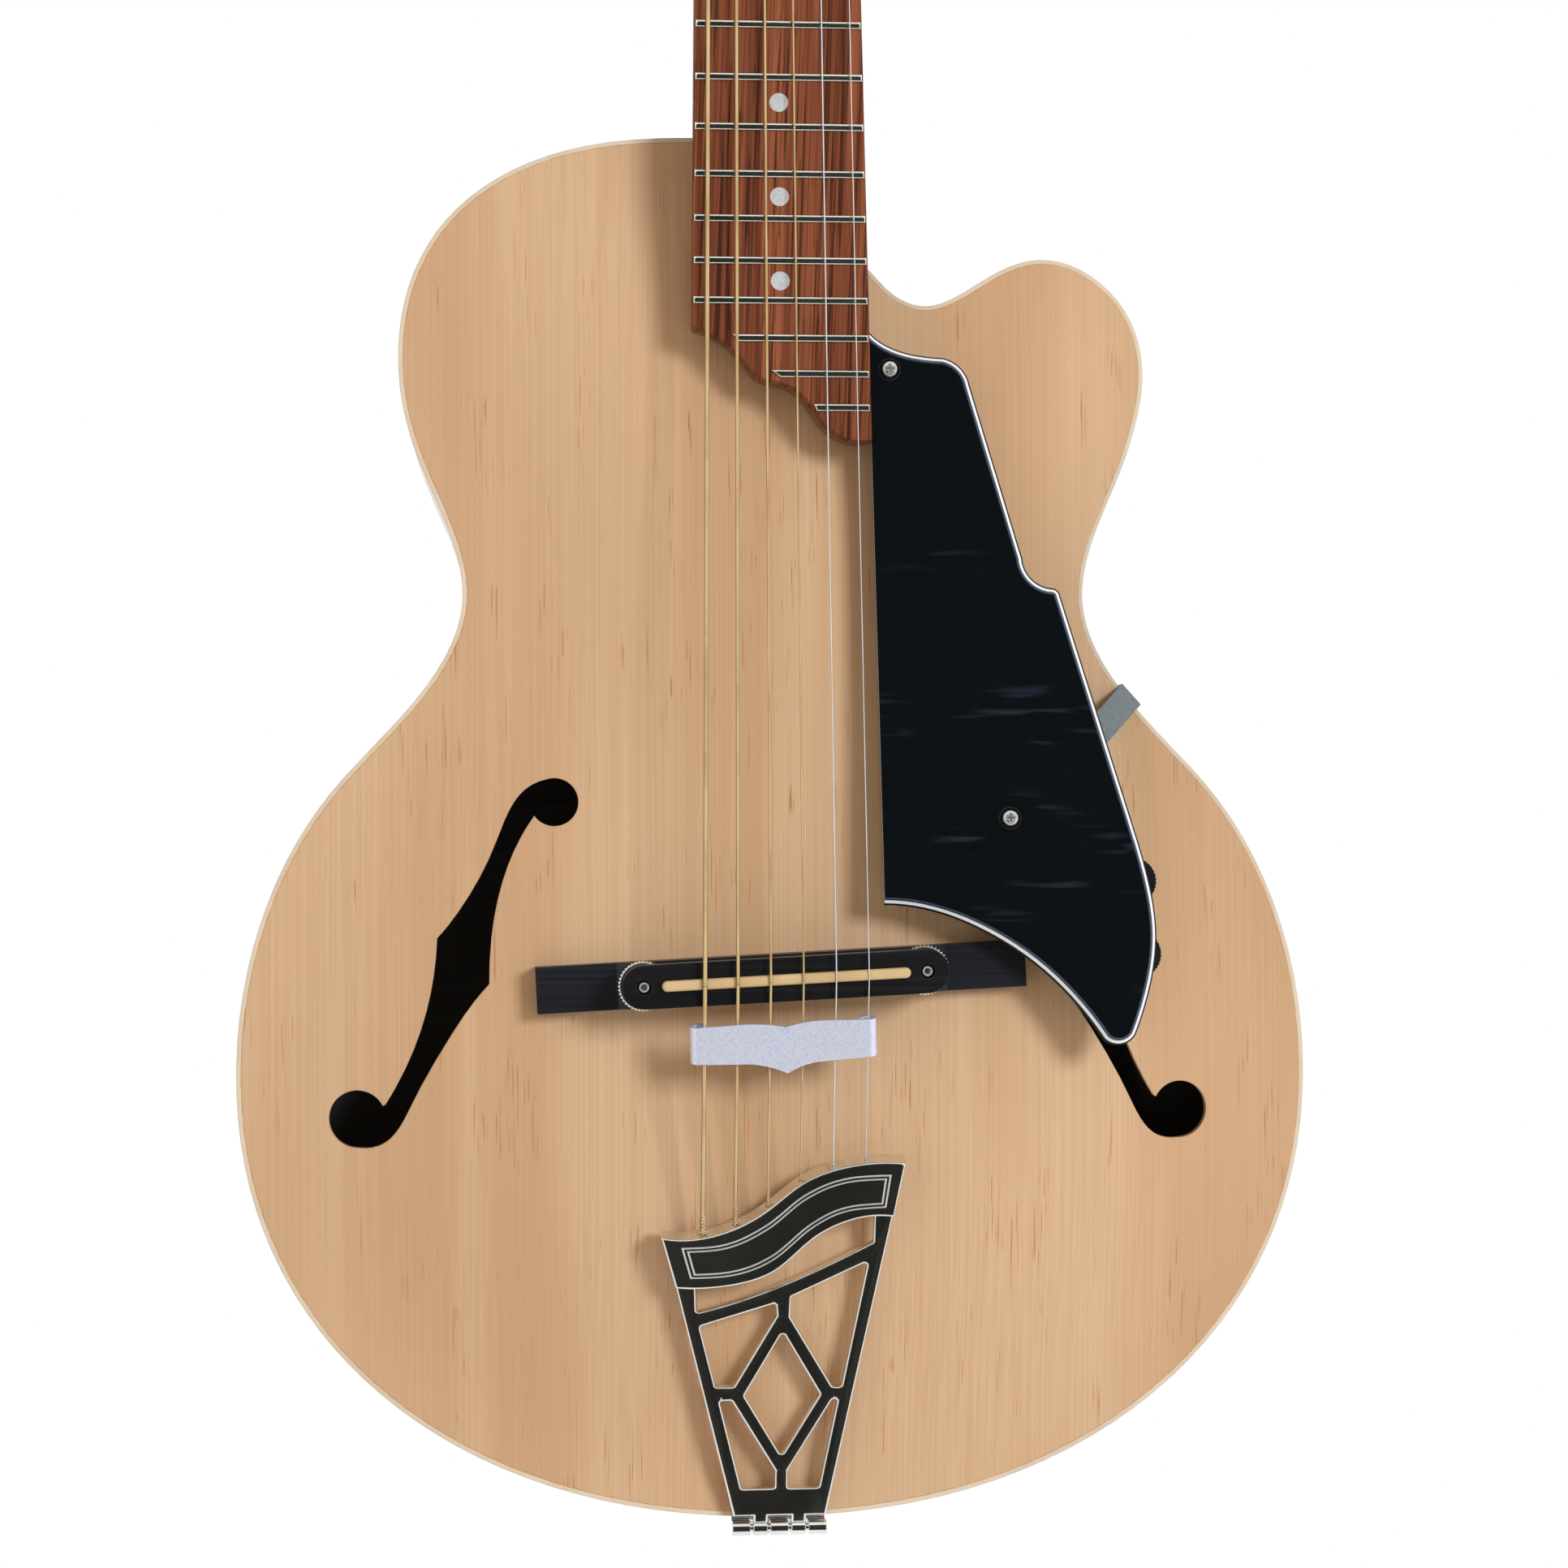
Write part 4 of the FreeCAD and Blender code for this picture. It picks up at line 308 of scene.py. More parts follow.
@dataclass(frozen=True)
class WoodFinish:
    """Grained wood, bare or under lacquer."""

    BAND_RANGE: ClassVar[Point] = (0.33, 0.67)
    BAND_LENGTH: ClassVar[float] = 0.5
    VEIN_SHARE: ClassVar[Triple] = (0.55, 0.55, 1.1)
    VEIN_RANGE: ClassVar[Point] = (0.53, 0.62)
    MARK_CELLS: ClassVar[Triple] = (2300.0, 60.0, 62.0)
    MARK_RANGE: ClassVar[Point] = (0.67, 0.77)
    MARK_STRENGTH: ClassVar[float] = 0.8
    PATCH_CELLS: ClassVar[Triple] = (120.0, 30.0, 30.0)
    PATCH_FADE: ClassVar[float] = 0.11
    INSIDE_SHADE_RANGE: ClassVar[Point] = (-0.2, 0.2)
    GLOSS_RANGE: ClassVar[Point] = (0.2, 0.8)
    SMOOTHER: ClassVar[float] = 0.05
    ROUGHER: ClassVar[float] = 0.07
    COAT_ROUGHNESS: ClassVar[float] = 0.06
    EDGE: ClassVar[float] = 0.6 * MM

    name: str
    pale: Colour
    deep: Colour
    streak: Colour
    grain: Grain
    contrast: float = 0.5
    roughness: float = 0.35
    coat: float = 0.0
    depth: float = 0.00003
    gloss: float = 0.4
    band: float = 0.045
    vein: float = 0.0
    slant: float = 0.0
    mark: Colour | None = None
    mark_cover: float = 0.45
    # Where set, faces that turn towards the front take this dull colour; on the back plate that is its inner
    # face, painted shade inside the body.
    inside: Colour | None = None

    def marks(self, graph: Graph) -> Socket:
        """Short dark flecks that come in patches.

        Args:
            graph: The material's nodes.

        Returns:
            Where the flecks are, from 0 to 1.
        """
        flecks = graph.ramp(graph.noise(self.MARK_CELLS, detail=0.0, slant=self.slant), *self.MARK_RANGE)
        start = 1.0 - self.mark_cover
        patch = graph.ramp(graph.noise(self.PATCH_CELLS, detail=1.0), start, start + self.PATCH_FADE, 0.0,
                           self.MARK_STRENGTH)
        return graph.math("MULTIPLY", flecks, patch)

    def make(self) -> Material:
        """Builds the material: broad bands, grain lines, and veins, short marks or a dull inside of painted
        shade where asked.

        Returns:
            The finished material.
        """
        graph = Graph(self.name)
        x, y, z = self.grain.value
        fine = graph.noise((x, y, z), detail=1.5, warp=0.15, slant=self.slant)
        broad = graph.noise((x * self.band, y * self.band, z * self.BAND_LENGTH), detail=2.0, warp=0.6,
                            slant=self.slant)
        base = graph.mix(graph.ramp(broad, *self.BAND_RANGE), self.pale, self.deep)
        base = graph.mix(graph.ramp(fine, *SPREAD, 0.0, self.contrast), base, self.streak)
        if self.vein:
            share_x, share_y, share_z = self.VEIN_SHARE
            veins = graph.noise((x * share_x, y * share_y, z * share_z), detail=3.0, warp=0.8,
                                slant=self.slant)
            base = graph.mix(graph.ramp(veins, *self.VEIN_RANGE, 0.0, self.vein), base, self.streak)
        if self.mark is not None:
            base = graph.mix(self.marks(graph), base, self.mark)
        if self.inside is not None:
            base = graph.mix(graph.ramp(graph.own(Own.NORMAL, "Y"), *self.INSIDE_SHADE_RANGE), self.inside, base)
        rough = graph.ramp(fine, *self.GLOSS_RANGE, self.roughness - self.SMOOTHER,
                           self.roughness + self.ROUGHER)
        graph.set(Base_Color=base, Roughness=rough, Specular_IOR_Level=self.gloss)
        graph.set(Coat_Weight=self.coat, Coat_Roughness=self.COAT_ROUGHNESS)
        graph.relief(fine, self.depth, self.EDGE)
        return graph.material


@dataclass(frozen=True)
class PlasticFinish:
    """Moulded or sheet plastic with faint mottling, and pale smears where hands wear it."""

    CLOUD_CELLS: ClassVar[Triple] = (60.0, 60.0, 60.0)
    CLOUD_RANGE: ClassVar[Point] = (0.35, 0.7)
    SMEAR_CELLS: ClassVar[Triple] = (36.0, 30.0, 340.0)
    SMEAR_RANGE: ClassVar[Point] = (0.6, 0.76)
    PATCH_CELLS: ClassVar[Triple] = (19.0, 19.0, 34.0)
    PATCH_RANGE: ClassVar[Point] = (0.55, 0.68)
    ROUGHER: ClassVar[float] = 0.08
    PORE_CELLS: ClassVar[Triple] = (900.0, 900.0, 900.0)
    PORE_DEPTH: ClassVar[float] = 0.0000015

    name: str
    colour: Colour
    shade: Colour
    roughness: float = 0.25
    wear: Colour | None = None
    edge: float = 0.5 * MM
    gloss: float = 0.5

    def make(self) -> Material:
        """Builds the material.

        Returns:
            The finished material.
        """
        graph = Graph(self.name)
        cloud = graph.noise(self.CLOUD_CELLS, detail=4.0, warp=0.4)
        base = graph.mix(graph.ramp(cloud, *self.CLOUD_RANGE), self.colour, self.shade)
        if self.wear is not None:
            smears = graph.ramp(graph.noise(self.SMEAR_CELLS, detail=1.0, warp=0.2), *self.SMEAR_RANGE)
            patch = graph.ramp(graph.noise(self.PATCH_CELLS, detail=0.0), *self.PATCH_RANGE)
            base = graph.mix(graph.math("MULTIPLY", smears, patch), base, self.wear)
        rough = graph.ramp(cloud, *SPREAD, self.roughness, self.roughness + self.ROUGHER)
        graph.set(Base_Color=base, Roughness=rough, Specular_IOR_Level=self.gloss)
        graph.relief(graph.noise(self.PORE_CELLS, detail=2.0), self.PORE_DEPTH, self.edge)
        return graph.material


@dataclass(frozen=True)
class MetalFinish:
    """Plated or brushed metal with faint tarnish and softened edges."""

    CLOUD_RANGE: ClassVar[Point] = (0.4, 0.75)
    SMOOTHER: ClassVar[float] = 0.8
    ROUGHER: ClassVar[float] = 1.35

    name: str
    colour: Colour
    tarnish: Colour
    roughness: float
    brushing: Triple = (120.0, 120.0, 120.0)
    depth: float = 0.000004
    edge: float = 0.4 * MM
    metallic: float = 1.0
    cloud: float = 35.0

    def make(self) -> Material:
        """Builds the material.

        Returns:
            The finished material.
        """
        graph = Graph(self.name)
        cloud = graph.noise((self.cloud, self.cloud, self.cloud), detail=5.0, warp=0.5)
        brushed = graph.noise(self.brushing)
        rough = graph.ramp(brushed, *SPREAD, self.roughness * self.SMOOTHER, self.roughness * self.ROUGHER)
        graph.set(Base_Color=graph.mix(graph.ramp(cloud, *self.CLOUD_RANGE), self.colour, self.tarnish))
        graph.set(Roughness=rough, Metallic=self.metallic)
        graph.relief(brushed, self.depth, self.edge)
        return graph.material


@dataclass(frozen=True)
class PearlFinish:
    """Pearl with slow swirls."""

    SWIRL_CELLS: ClassVar[Triple] = (420.0, 420.0, 420.0)
    ROUGHNESS: ClassVar[Point] = (0.18, 0.3)
    COAT: ClassVar[float] = 0.4
    DEPTH: ClassVar[float] = 0.00001

    name: str
    pale: Colour
    deep: Colour

    def make(self) -> Material:
        """Builds the material.

        Returns:
            The finished material.
        """
        graph = Graph(self.name)
        swirl = graph.noise(self.SWIRL_CELLS, detail=4.0, warp=2.0)
        graph.set(Base_Color=graph.mix(graph.ramp(swirl, *SPREAD), self.deep, self.pale))
        graph.set(Roughness=graph.ramp(swirl, *SPREAD, *self.ROUGHNESS), Coat_Weight=self.COAT)
        graph.relief(swirl, self.DEPTH)
        return graph.material


@dataclass(frozen=True)
class StringFinish:
    """Bronze winding on the low strings and bare steel on the two high ones, told apart by their place, with
    painted shade darkening the flanks.
    """

    # Each metal's colour where it is bright and where it is worn, and a darker tone on the string's flanks
    # that is painted shade.
    BRONZE: ClassVar[tuple[Colour, ...]] = (srgb(226, 203, 152), srgb(202, 174, 120), srgb(122, 94, 50))
    STEEL: ClassVar[tuple[Colour, ...]] = (srgb(244, 246, 250), srgb(224, 227, 232), srgb(128, 133, 140))
    TURN_CELLS: ClassVar[Triple] = (60.0, 60.0, 3400.0)
    TURN_DEPTH: ClassVar[float] = 0.00001
    WEAR_CELLS: ClassVar[Triple] = (30.0, 30.0, 60.0)
    WEAR_RANGE: ClassVar[Point] = (0.35, 0.7)
    PAINTED_FLANK_SHADE_RANGE: ClassVar[Point] = (-0.92, -0.4)
    ROUGHNESS: ClassVar[Point] = (0.3, 0.42)
    METALLIC: ClassVar[float] = 0.25

    name: str
    border: float
    lean: float = 0.0
    low: float = 0.0
    all_wound_above: float = 10.0

    def make(self) -> Material:
        """Builds the material; the border between the two kinds leans with height where the strings fan out.

        Returns:
            The finished material.
        """
        graph = Graph(self.name)
        height = graph.math("SUBTRACT", graph.own(Own.PLACE, "Z"), self.low)
        across = graph.math("SUBTRACT", graph.own(Own.PLACE, "X"), graph.math("MULTIPLY", height, self.lean))
        below = graph.math("LESS_THAN", graph.own(Own.PLACE, "Z"), self.all_wound_above)
        plain = graph.math("MULTIPLY", graph.math("GREATER_THAN", across, self.border), below)
        turns = graph.noise(self.TURN_CELLS, detail=1.0)
        worn = graph.ramp(graph.noise(self.WEAR_CELLS), *self.WEAR_RANGE)
        # Faces that turn away from the front take the darker tone: painted shade on the flanks.
        painted_flank_shade = graph.ramp(graph.own(Own.NORMAL, "Y"), *self.PAINTED_FLANK_SHADE_RANGE)
        tones = [graph.mix(painted_flank_shade, graph.mix(worn, bright, dull), side)
                 for bright, dull, side in (self.BRONZE, self.STEEL)]
        graph.set(Base_Color=graph.mix(plain, *tones), Metallic=self.METALLIC)
        graph.set(Roughness=graph.ramp(turns, *SPREAD, *self.ROUGHNESS))
        graph.relief(turns, self.TURN_DEPTH)
        return graph.material


class Finishes:
    """Every finish of the guitar, made once."""

    THIN_EDGE = 0.1 * MM

    def __init__(self) -> None:
        """Makes all materials."""
        self.woods()
        self.plastics()
        self.metals()
        self.sounding = StringFinish("string_lengths", border=0.008).make()
        self.tails = StringFinish("string_tail_metal", border=0.010).make()
        self.wound_ends = StringFinish("string_end_metal", border=0.00746, lean=0.101, low=-0.0124,
                                       all_wound_above=0.0875).make()

    def woods(self) -> None:
        """Makes the woods."""
        maple = srgb(221, 182, 136), srgb(203, 160, 113), srgb(176, 130, 86)
        self.spruce = WoodFinish("spruce_lacquered", srgb(219, 184, 148), srgb(207, 168, 130),
                                 srgb(190, 149, 109), Grain.UPRIGHT, contrast=0.3, roughness=0.42, coat=0.1,
                                 depth=0.000012, band=0.02, mark=srgb(178, 118, 74)).make()
        # The back's inner face is painted dull grey: painted shade inside the closed body.
        self.maple_back = WoodFinish("maple_back", *maple, Grain.RIBBED, contrast=0.45, roughness=0.28,
                                     coat=0.5, depth=0.00002, inside=srgb(98, 98, 98)).make()
        self.maple_rim = WoodFinish("maple_rim", *maple, Grain.RIM, contrast=0.45, roughness=0.28,
                                    coat=0.5, depth=0.00002).make()
        self.maple_neck = WoodFinish("maple_neck_stained", srgb(124, 74, 48), srgb(106, 60, 38),
                                     srgb(76, 40, 25), Grain.UPRIGHT, roughness=0.32, coat=0.4,
                                     depth=0.00002).make()
        # The linings, blocks, tone bars and pickguard support are painted near black: painted shade inside
        # the body and under the pickguard.
        self.inner_wood = WoodFinish("inner_wood", srgb(38, 29, 21), srgb(28, 21, 15), srgb(20, 15, 11),
                                     Grain.UPRIGHT, roughness=0.7).make()
        self.rosewood = WoodFinish("rosewood", srgb(158, 92, 62), srgb(124, 66, 45), srgb(46, 24, 17),
                                   Grain.BOARD, contrast=0.45, roughness=0.5, depth=0.00004, gloss=0.15,
                                   band=0.1, vein=0.74, slant=0.045, mark=srgb(40, 20, 14),
                                   mark_cover=0.6).make()
        self.ebony_base = WoodFinish("ebony_base", srgb(40, 43, 50), srgb(33, 36, 42), srgb(22, 23, 27),
                                     Grain.ACROSS, contrast=0.6, roughness=0.36, gloss=0.3).make()
        self.ebony = WoodFinish("ebony", srgb(32, 33, 36), srgb(25, 26, 29), srgb(16, 16, 17),
                                Grain.ACROSS, contrast=0.6, roughness=0.36, gloss=0.3).make()

    def plastics(self) -> None:
        """Makes the plastics, the bone and the pearl."""
        self.cream = PlasticFinish("cream_binding", srgb(229, 211, 187), srgb(220, 200, 174)).make()
        self.bone = PlasticFinish("bone", srgb(218, 191, 145), srgb(203, 174, 127), roughness=0.4).make()
        self.guard_black = PlasticFinish("guard_black", srgb(12, 16, 20), srgb(13, 17, 21), roughness=0.12,
                                         wear=srgb(33, 42, 53), edge=0.2 * MM, gloss=0.3).make()
        self.guard_edge = PlasticFinish("guard_edge", srgb(12, 14, 17), srgb(14, 16, 19), roughness=0.35,
                                        edge=self.THIN_EDGE, gloss=0.2).make()
        # The bevel's blue-grey, lighter than the black ply it is cut through, is a painted reflection.
        self.guard_bevel_reflection = PlasticFinish("guard_bevel_reflection", srgb(46, 60, 79), srgb(56, 72, 92), roughness=0.3,
                                         edge=self.THIN_EDGE, gloss=0.4).make()
        self.guard_white = PlasticFinish("guard_white", srgb(243, 249, 255), srgb(238, 245, 255),
                                         roughness=0.3, edge=self.THIN_EDGE).make()
        self.black = PlasticFinish("black_plastic", srgb(24, 25, 27), srgb(32, 33, 36), roughness=0.3).make()
        self.circuit = PlasticFinish("circuit_board", srgb(38, 70, 48), srgb(30, 56, 40),
                                     roughness=0.4).make()
        self.pearl = PearlFinish("pearl", srgb(208, 211, 215), srgb(190, 193, 198)).make()

    def metals(self) -> None:
        """Makes the metals."""
        self.nickel = MetalFinish("polished_nickel", srgb(235, 235, 232), srgb(223, 223, 218), 0.06).make()
        self.tuner_nickel = MetalFinish("tuner_nickel", srgb(196, 197, 196), srgb(176, 177, 175), 0.16).make()
        self.fret_metal = MetalFinish("fret_nickel", srgb(236, 238, 228), srgb(220, 221, 208), 0.08).make()
        self.steel = MetalFinish("satin_steel", srgb(176, 178, 180), srgb(154, 156, 158), 0.3,
                                 brushing=(40.0, 900.0, 900.0)).make()
        self.screw_steel = MetalFinish("screw_steel", srgb(226, 226, 222), srgb(204, 204, 198), 0.3).make()
        self.bracket = MetalFinish("bracket_grey", srgb(122, 131, 136), srgb(112, 121, 126), 0.42,
                                   brushing=(700.0, 60.0, 700.0), depth=0.00001, metallic=0.7).make()
        self.clip = MetalFinish("satin_silver", srgb(232, 239, 255), srgb(204, 211, 250), 0.36,
                                brushing=(2600.0, 2600.0, 2600.0), depth=0.00002, metallic=0.32,
                                cloud=1800.0).make()


class Builder:
    """Shared work of the sub-assemblies: dressing nodes, reading their meshes and making pieces."""

    SOFT_WELD = 1e-6
    SOFT_SEGMENTS = 3
    SOFT_ANGLE = math.radians(40)
    SHARP_ANGLE = math.radians(35)
    LEVEL_ANGLE = math.radians(0.3)
    FRONT_SEGMENTS = 4
    ROUND = 0.5

    def __init__(self, frame: dict, finishes: Finishes) -> None:
        """Keeps the loaded frame and the finishes.

        Args:
            finishes: The guitar's finishes.
        """
        self.frame = frame
        self.finishes = finishes

    def dress(self, material: Material, *nodes: str) -> None:
        """Gives CAD nodes one finish.

        Args:
            material: The finish.
            nodes: Names of the nodes.
        """
        for name in nodes:
            slots = self.frame["nodes"][name].data.materials
            slots.clear()
            slots.append(material)
            LOG.info("dressed %s with %s", name, material.name)

    def soften(self, width: float, *nodes: str) -> None:
        """Rounds the sharp edges of CAD nodes with modifiers.

        Args:
            width: Width of the rounding in metres.
            nodes: Names of the nodes.
        """
        for name in nodes:
            node = self.frame["nodes"][name]
            weld = node.modifiers.new("weld", "WELD")
            weld.merge_threshold = self.SOFT_WELD
            bevel = node.modifiers.new("soft_edges", "BEVEL")
            bevel.width = width
            bevel.segments = self.SOFT_SEGMENTS
            bevel.limit_method = "ANGLE"
            bevel.angle_limit = self.SOFT_ANGLE
            bevel.harden_normals = True
            LOG.info("softened %s", name)

    def welded(self, name: str) -> Mesh:
        """A copy of a CAD node's mesh with its facets joined.

        Args:
            name: Name of the node.

        Returns:
            The copy, in the row frame.
        """
        mesh = bmesh.new()
        mesh.from_mesh(self.frame["nodes"][name].data)
        bmesh.ops.remove_doubles(mesh, verts=mesh.verts, dist=WELD)
        return mesh

    def front_loops(self, name: str, placement: Matrix, level: float) -> list[Points]:
        """Edges of a CAD node's flat front, in the node's own plane.

        Args:
            name: Name of the node.
            placement: From the node's own plane to the row frame.
            level: Where the front lies along the plane's Y, in metres.

        Returns:
            Closed loops, the outer one first and anticlockwise, the openings clockwise.
        """
        inverse = placement.inverted()
        mesh = self.welded(name)
        mesh.verts.index_update()
        nexts: dict[int, list[int]] = {}
        spots: dict[int, Vector] = {}
        for edge in front_edges(mesh, inverse, level):
            a, b = (v.index for v in edge.verts)
            nexts.setdefault(a, []).append(b)
            nexts.setdefault(b, []).append(a)
            spots.update((v.index, inverse @ v.co) for v in edge.verts)
        mesh.free()
        loops = []
        left = set(nexts)
        while left:
            start = min(left)
            loop, here, before = [start], start, -1
            left.discard(start)
            while True:
                after = [n for n in nexts[here] if n != before and (n in left or n == start)]
                if not after or after[0] == start:
                    break
                before, here = here, after[0]
                loop.append(here)
                left.discard(here)
            loops.append([spots[i] for i in loop])
        loops.sort(key=lambda loop: -abs(signed_area(loop)))
        return [loop if (signed_area(loop) > 0) == (number == 0) else list(reversed(loop))
                for number, loop in enumerate(loops)]

    def islands(self, name: str, placement: Matrix) -> list[Points]:
        """The separate solids of a CAD node.

        Args:
            name: Name of the node.
            placement: From the wanted frame to the row frame.

        Returns:
            The points of each solid, in the wanted frame.
        """
        inverse = placement.inverted()
        mesh = self.welded(name)
        groups, seen = [], set()
        for start in mesh.verts:
            if start in seen:
                continue
            seen.add(start)
            group, queue = [], [start]
            while queue:
                vert = queue.pop()
                group.append(inverse @ vert.co)
                for edge in vert.link_edges:
                    other = edge.other_vert(vert)
                    if other not in seen:
                        seen.add(other)
                        queue.append(other)
            groups.append(group)
        mesh.free()
        return groups

    def rounded_copy(self, name: str, placement: Matrix, level: float, width: float) -> Mesh:
        """A CAD node's mesh with the edges of its flat front rounded.

        Args:
            name: Name of the node.
            placement: From the node's own plane to the row frame.
            level: Where the front lies along the plane's Y, in metres.
            width: Width of the rounding in metres.

        Returns:
            The new mesh.
        """
        mesh = self.welded(name)
        bmesh.ops.dissolve_limit(mesh, angle_limit=self.LEVEL_ANGLE, verts=mesh.verts, edges=mesh.edges)
        bmesh.ops.bevel(mesh, geom=front_edges(mesh, placement.inverted(), level), offset=width,
                        offset_type="OFFSET", segments=self.FRONT_SEGMENTS, profile=self.ROUND,
                        affect="EDGES", loop_slide=False, clamp_overlap=False)
        return mesh

    def piece(self, name: str, mesh: Mesh, body: str, slot: str, *materials: Material, smooth: bool = True,
              flat: bool = False, instead_of: str = "") -> None:
        """Turns a built mesh into a piece that rides on a body.

        Args:
            name: Name of the piece.
            mesh: Its geometry in the row frame, in metres.
            body: The CAD body that carries it.
            slot: The record's material slot; not used.
            materials: Its finishes, in the order of the faces' material numbers.
            smooth: Whether its faces are shaded smooth.
            flat: Whether its large faces stay flat beside rounded edges.
            instead_of: The CAD node that it stands for, if any.
        """
        data = bpy.data.meshes.new(name)
        bmesh.ops.recalc_face_normals(mesh, faces=mesh.faces)
        mesh.to_mesh(data)
        mesh.free()
        for material in materials:
            data.materials.append(material)
        for polygon in data.polygons:
            polygon.use_smooth = smooth
        if smooth:
            data.set_sharp_from_angle(angle=self.SHARP_ANGLE)
        item = bpy.data.objects.new(name, data)
        bpy.context.scene.collection.objects.link(item)
        if flat:
            weights = item.modifiers.new("flat_faces", "WEIGHTED_NORMAL")
            weights.keep_sharp = True
        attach(item, body)
        if instead_of:
            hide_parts(instead_of)
        LOG.info("made %s with %d faces", name, len(data.polygons))


def front_edges(mesh: Mesh, inverse: Matrix, level: float) -> list[bmesh.types.BMEdge]:
    """The edges round a mesh's flat front.

    Args:
        mesh: The mesh, in the row frame.
        inverse: From the row frame to the front's own plane.
        level: Where the front lies along the plane's Y, in metres.

    Returns:
        The edges between the front and the other faces.
    """
    front = {face for face in mesh.faces if all(abs((inverse @ v.co).y - level) < FLAT for v in face.verts)}
    return [edge for edge in mesh.edges if sum(face in front for face in edge.link_faces) == 1]


def signed_area(loop: Points) -> float:
    """Twice the area inside a loop in a plane that faces the front, negative where it runs clockwise."""
    return sum(a.x * b.z - b.x * a.z for a, b in zip(loop, loop[1:] + loop[:1]))


def angles(steps: int) -> list[float]:
    """The angles of a full turn in equal steps, in radians."""
    return [2 * math.pi * k / steps for k in range(steps)]


def sides(loop: Points) -> list[tuple[tuple[Vector, Vector], tuple[Vector, Vector]]]:
    """The two edges at each point of a closed path in a plane that faces the front.

    Args:
        loop: The path's points in order.

    Returns:
        For each point, the edges before and after it: each edge's direction and the one to its left.
    """
    ways = []
    for a, b in zip(loop[-1:] + loop[:-1], loop):
        along = (b - a).normalized()
        ways.append((along, Vector((-along.z, 0.0, along.x))))
    return list(zip(ways, ways[1:] + ways[:1]))


def inward(loop: Points, least: float = 0.4) -> Points:
    """Mitred directions to the left of a closed path in a plane that faces the front.

    Args:
        loop: The path's points in order.
        least: Limits the mitre at sharp corners.

    Returns:
        One vector per point, which moves both neighbouring edges by one unit.
    """
    ways = []
    for (_, before), (_, after) in sides(loop):
        middle = (before + after).normalized()
        ways.append(middle / max(least, middle.dot(before)))
    return ways


def hull(points: Points, digits: int = 7, least: float = 1e-9) -> Points:
    """The convex outline of points, seen from the front.

    Args:
        points: Points in a plane that faces the front.
        digits: Decimals to which points count as one.
        least: Smallest turn at a corner, as an area.

    Returns:
        The outline's corners, anticlockwise.
    """
    spots = sorted({(round(p.x, digits), round(p.z, digits)) for p in points})
    chains = []
    for line in (spots, list(reversed(spots))):
        chain: list[Point] = []
        for x, z in line:
            while len(chain) > 1:
                (ax, az), (bx, bz) = chain[-2], chain[-1]
                if (bx - ax) * (z - az) - (bz - az) * (x - ax) > least:
                    break
                chain.pop()
            chain.append((x, z))
        chains += chain[:-1]
    return [Vector((x, 0.0, z)) for x, z in chains]


def bridge_rings(mesh: Mesh, rings: list[Ring], closed: bool = False) -> None:
    """Joins rings of equal length with faces.

    Args:
        mesh: The mesh to add to.
        rings: The rings in order.
        closed: Whether the last ring joins the first.
    """
    pairs = list(zip(rings, rings[1:])) + ([(rings[-1], rings[0])] if closed else [])
    for first, second in pairs:
        count = len(first)
        for k in range(count):
            mesh.faces.new((first[k], first[(k + 1) % count], second[(k + 1) % count], second[k]))


def screw_head(mesh: Mesh, spot: Vector, radius: float, rise: float, placement: Matrix) -> None:
    """Adds a domed screw head with a cross recess.

    Args:
        mesh: The mesh to add to.
        spot: Middle of the head's underside.
        radius: Radius of the head.
        rise: How far its dome stands out.
        placement: From the spot's own frame to the row frame.
    """
    rows, steps = 14, 64
    arm, reach, floor = 0.17 * radius, 0.62 * radius, rise - 0.7 * rise
    middle = mesh.verts.new(placement @ (spot - Vector((0.0, floor, 0.0))))
    rings = []
    for i in range(1, rows + 1):
        r = radius * i / rows
        ring = []
        for angle in angles(steps):
            x, z = r * math.cos(angle), r * math.sin(angle)
            recessed = r < reach and min(abs(x), abs(z)) < arm
            height = floor if recessed else rise * (1 - (i / rows) ** 3)
            ring.append(mesh.verts.new(placement @ (spot + Vector((x, -height, z)))))
        rings.append(ring)
    for k in range(steps):
        mesh.faces.new((middle, rings[0][k], rings[0][(k + 1) % steps]))
    bridge_rings(mesh, rings)
    mesh.faces.new(rings[-1])


def plate(mesh: Mesh, loops: list[Points], front: float, back: float, rounding: float, placement: Matrix,
          steps: int = 4) -> None:
    """Adds a flat plate with openings and rounded front edges.

    Args:
        mesh: The mesh to add to.
        loops: The outer edge anticlockwise and the openings clockwise, in the plate's own plane.
        front: Where the front lies along Y.
        back: Where the back lies along Y.
        rounding: Radius of the front edges.
        placement: From the plate's own plane to the row frame.
        steps: Faces across a rounded edge.
    """
    levels = [(0.0, back)]
    for i in range(steps + 1):
        angle = math.pi / 2 * i / steps
        levels.append((rounding * (1 - math.cos(angle)), front + rounding * (1 - math.sin(angle))))
    front_rim, back_rim = [], []
    for loop in loops:
        ways = inward(loop)
        rings = [[mesh.verts.new(placement @ Vector((p.x + w.x * inset, depth, p.z + w.z * inset)))
                  for p, w in zip(loop, ways)] for inset, depth in levels]
        bridge_rings(mesh, rings)
        for ring, rim in ((rings[0], back_rim), (rings[-1], front_rim)):
            rim.extend(mesh.edges.get((a, b)) for a, b in zip(ring, ring[1:] + ring[:1]))
    for rim in (front_rim, back_rim):
        bmesh.ops.triangle_fill(mesh, use_beauty=True, use_dissolve=False, edges=rim)


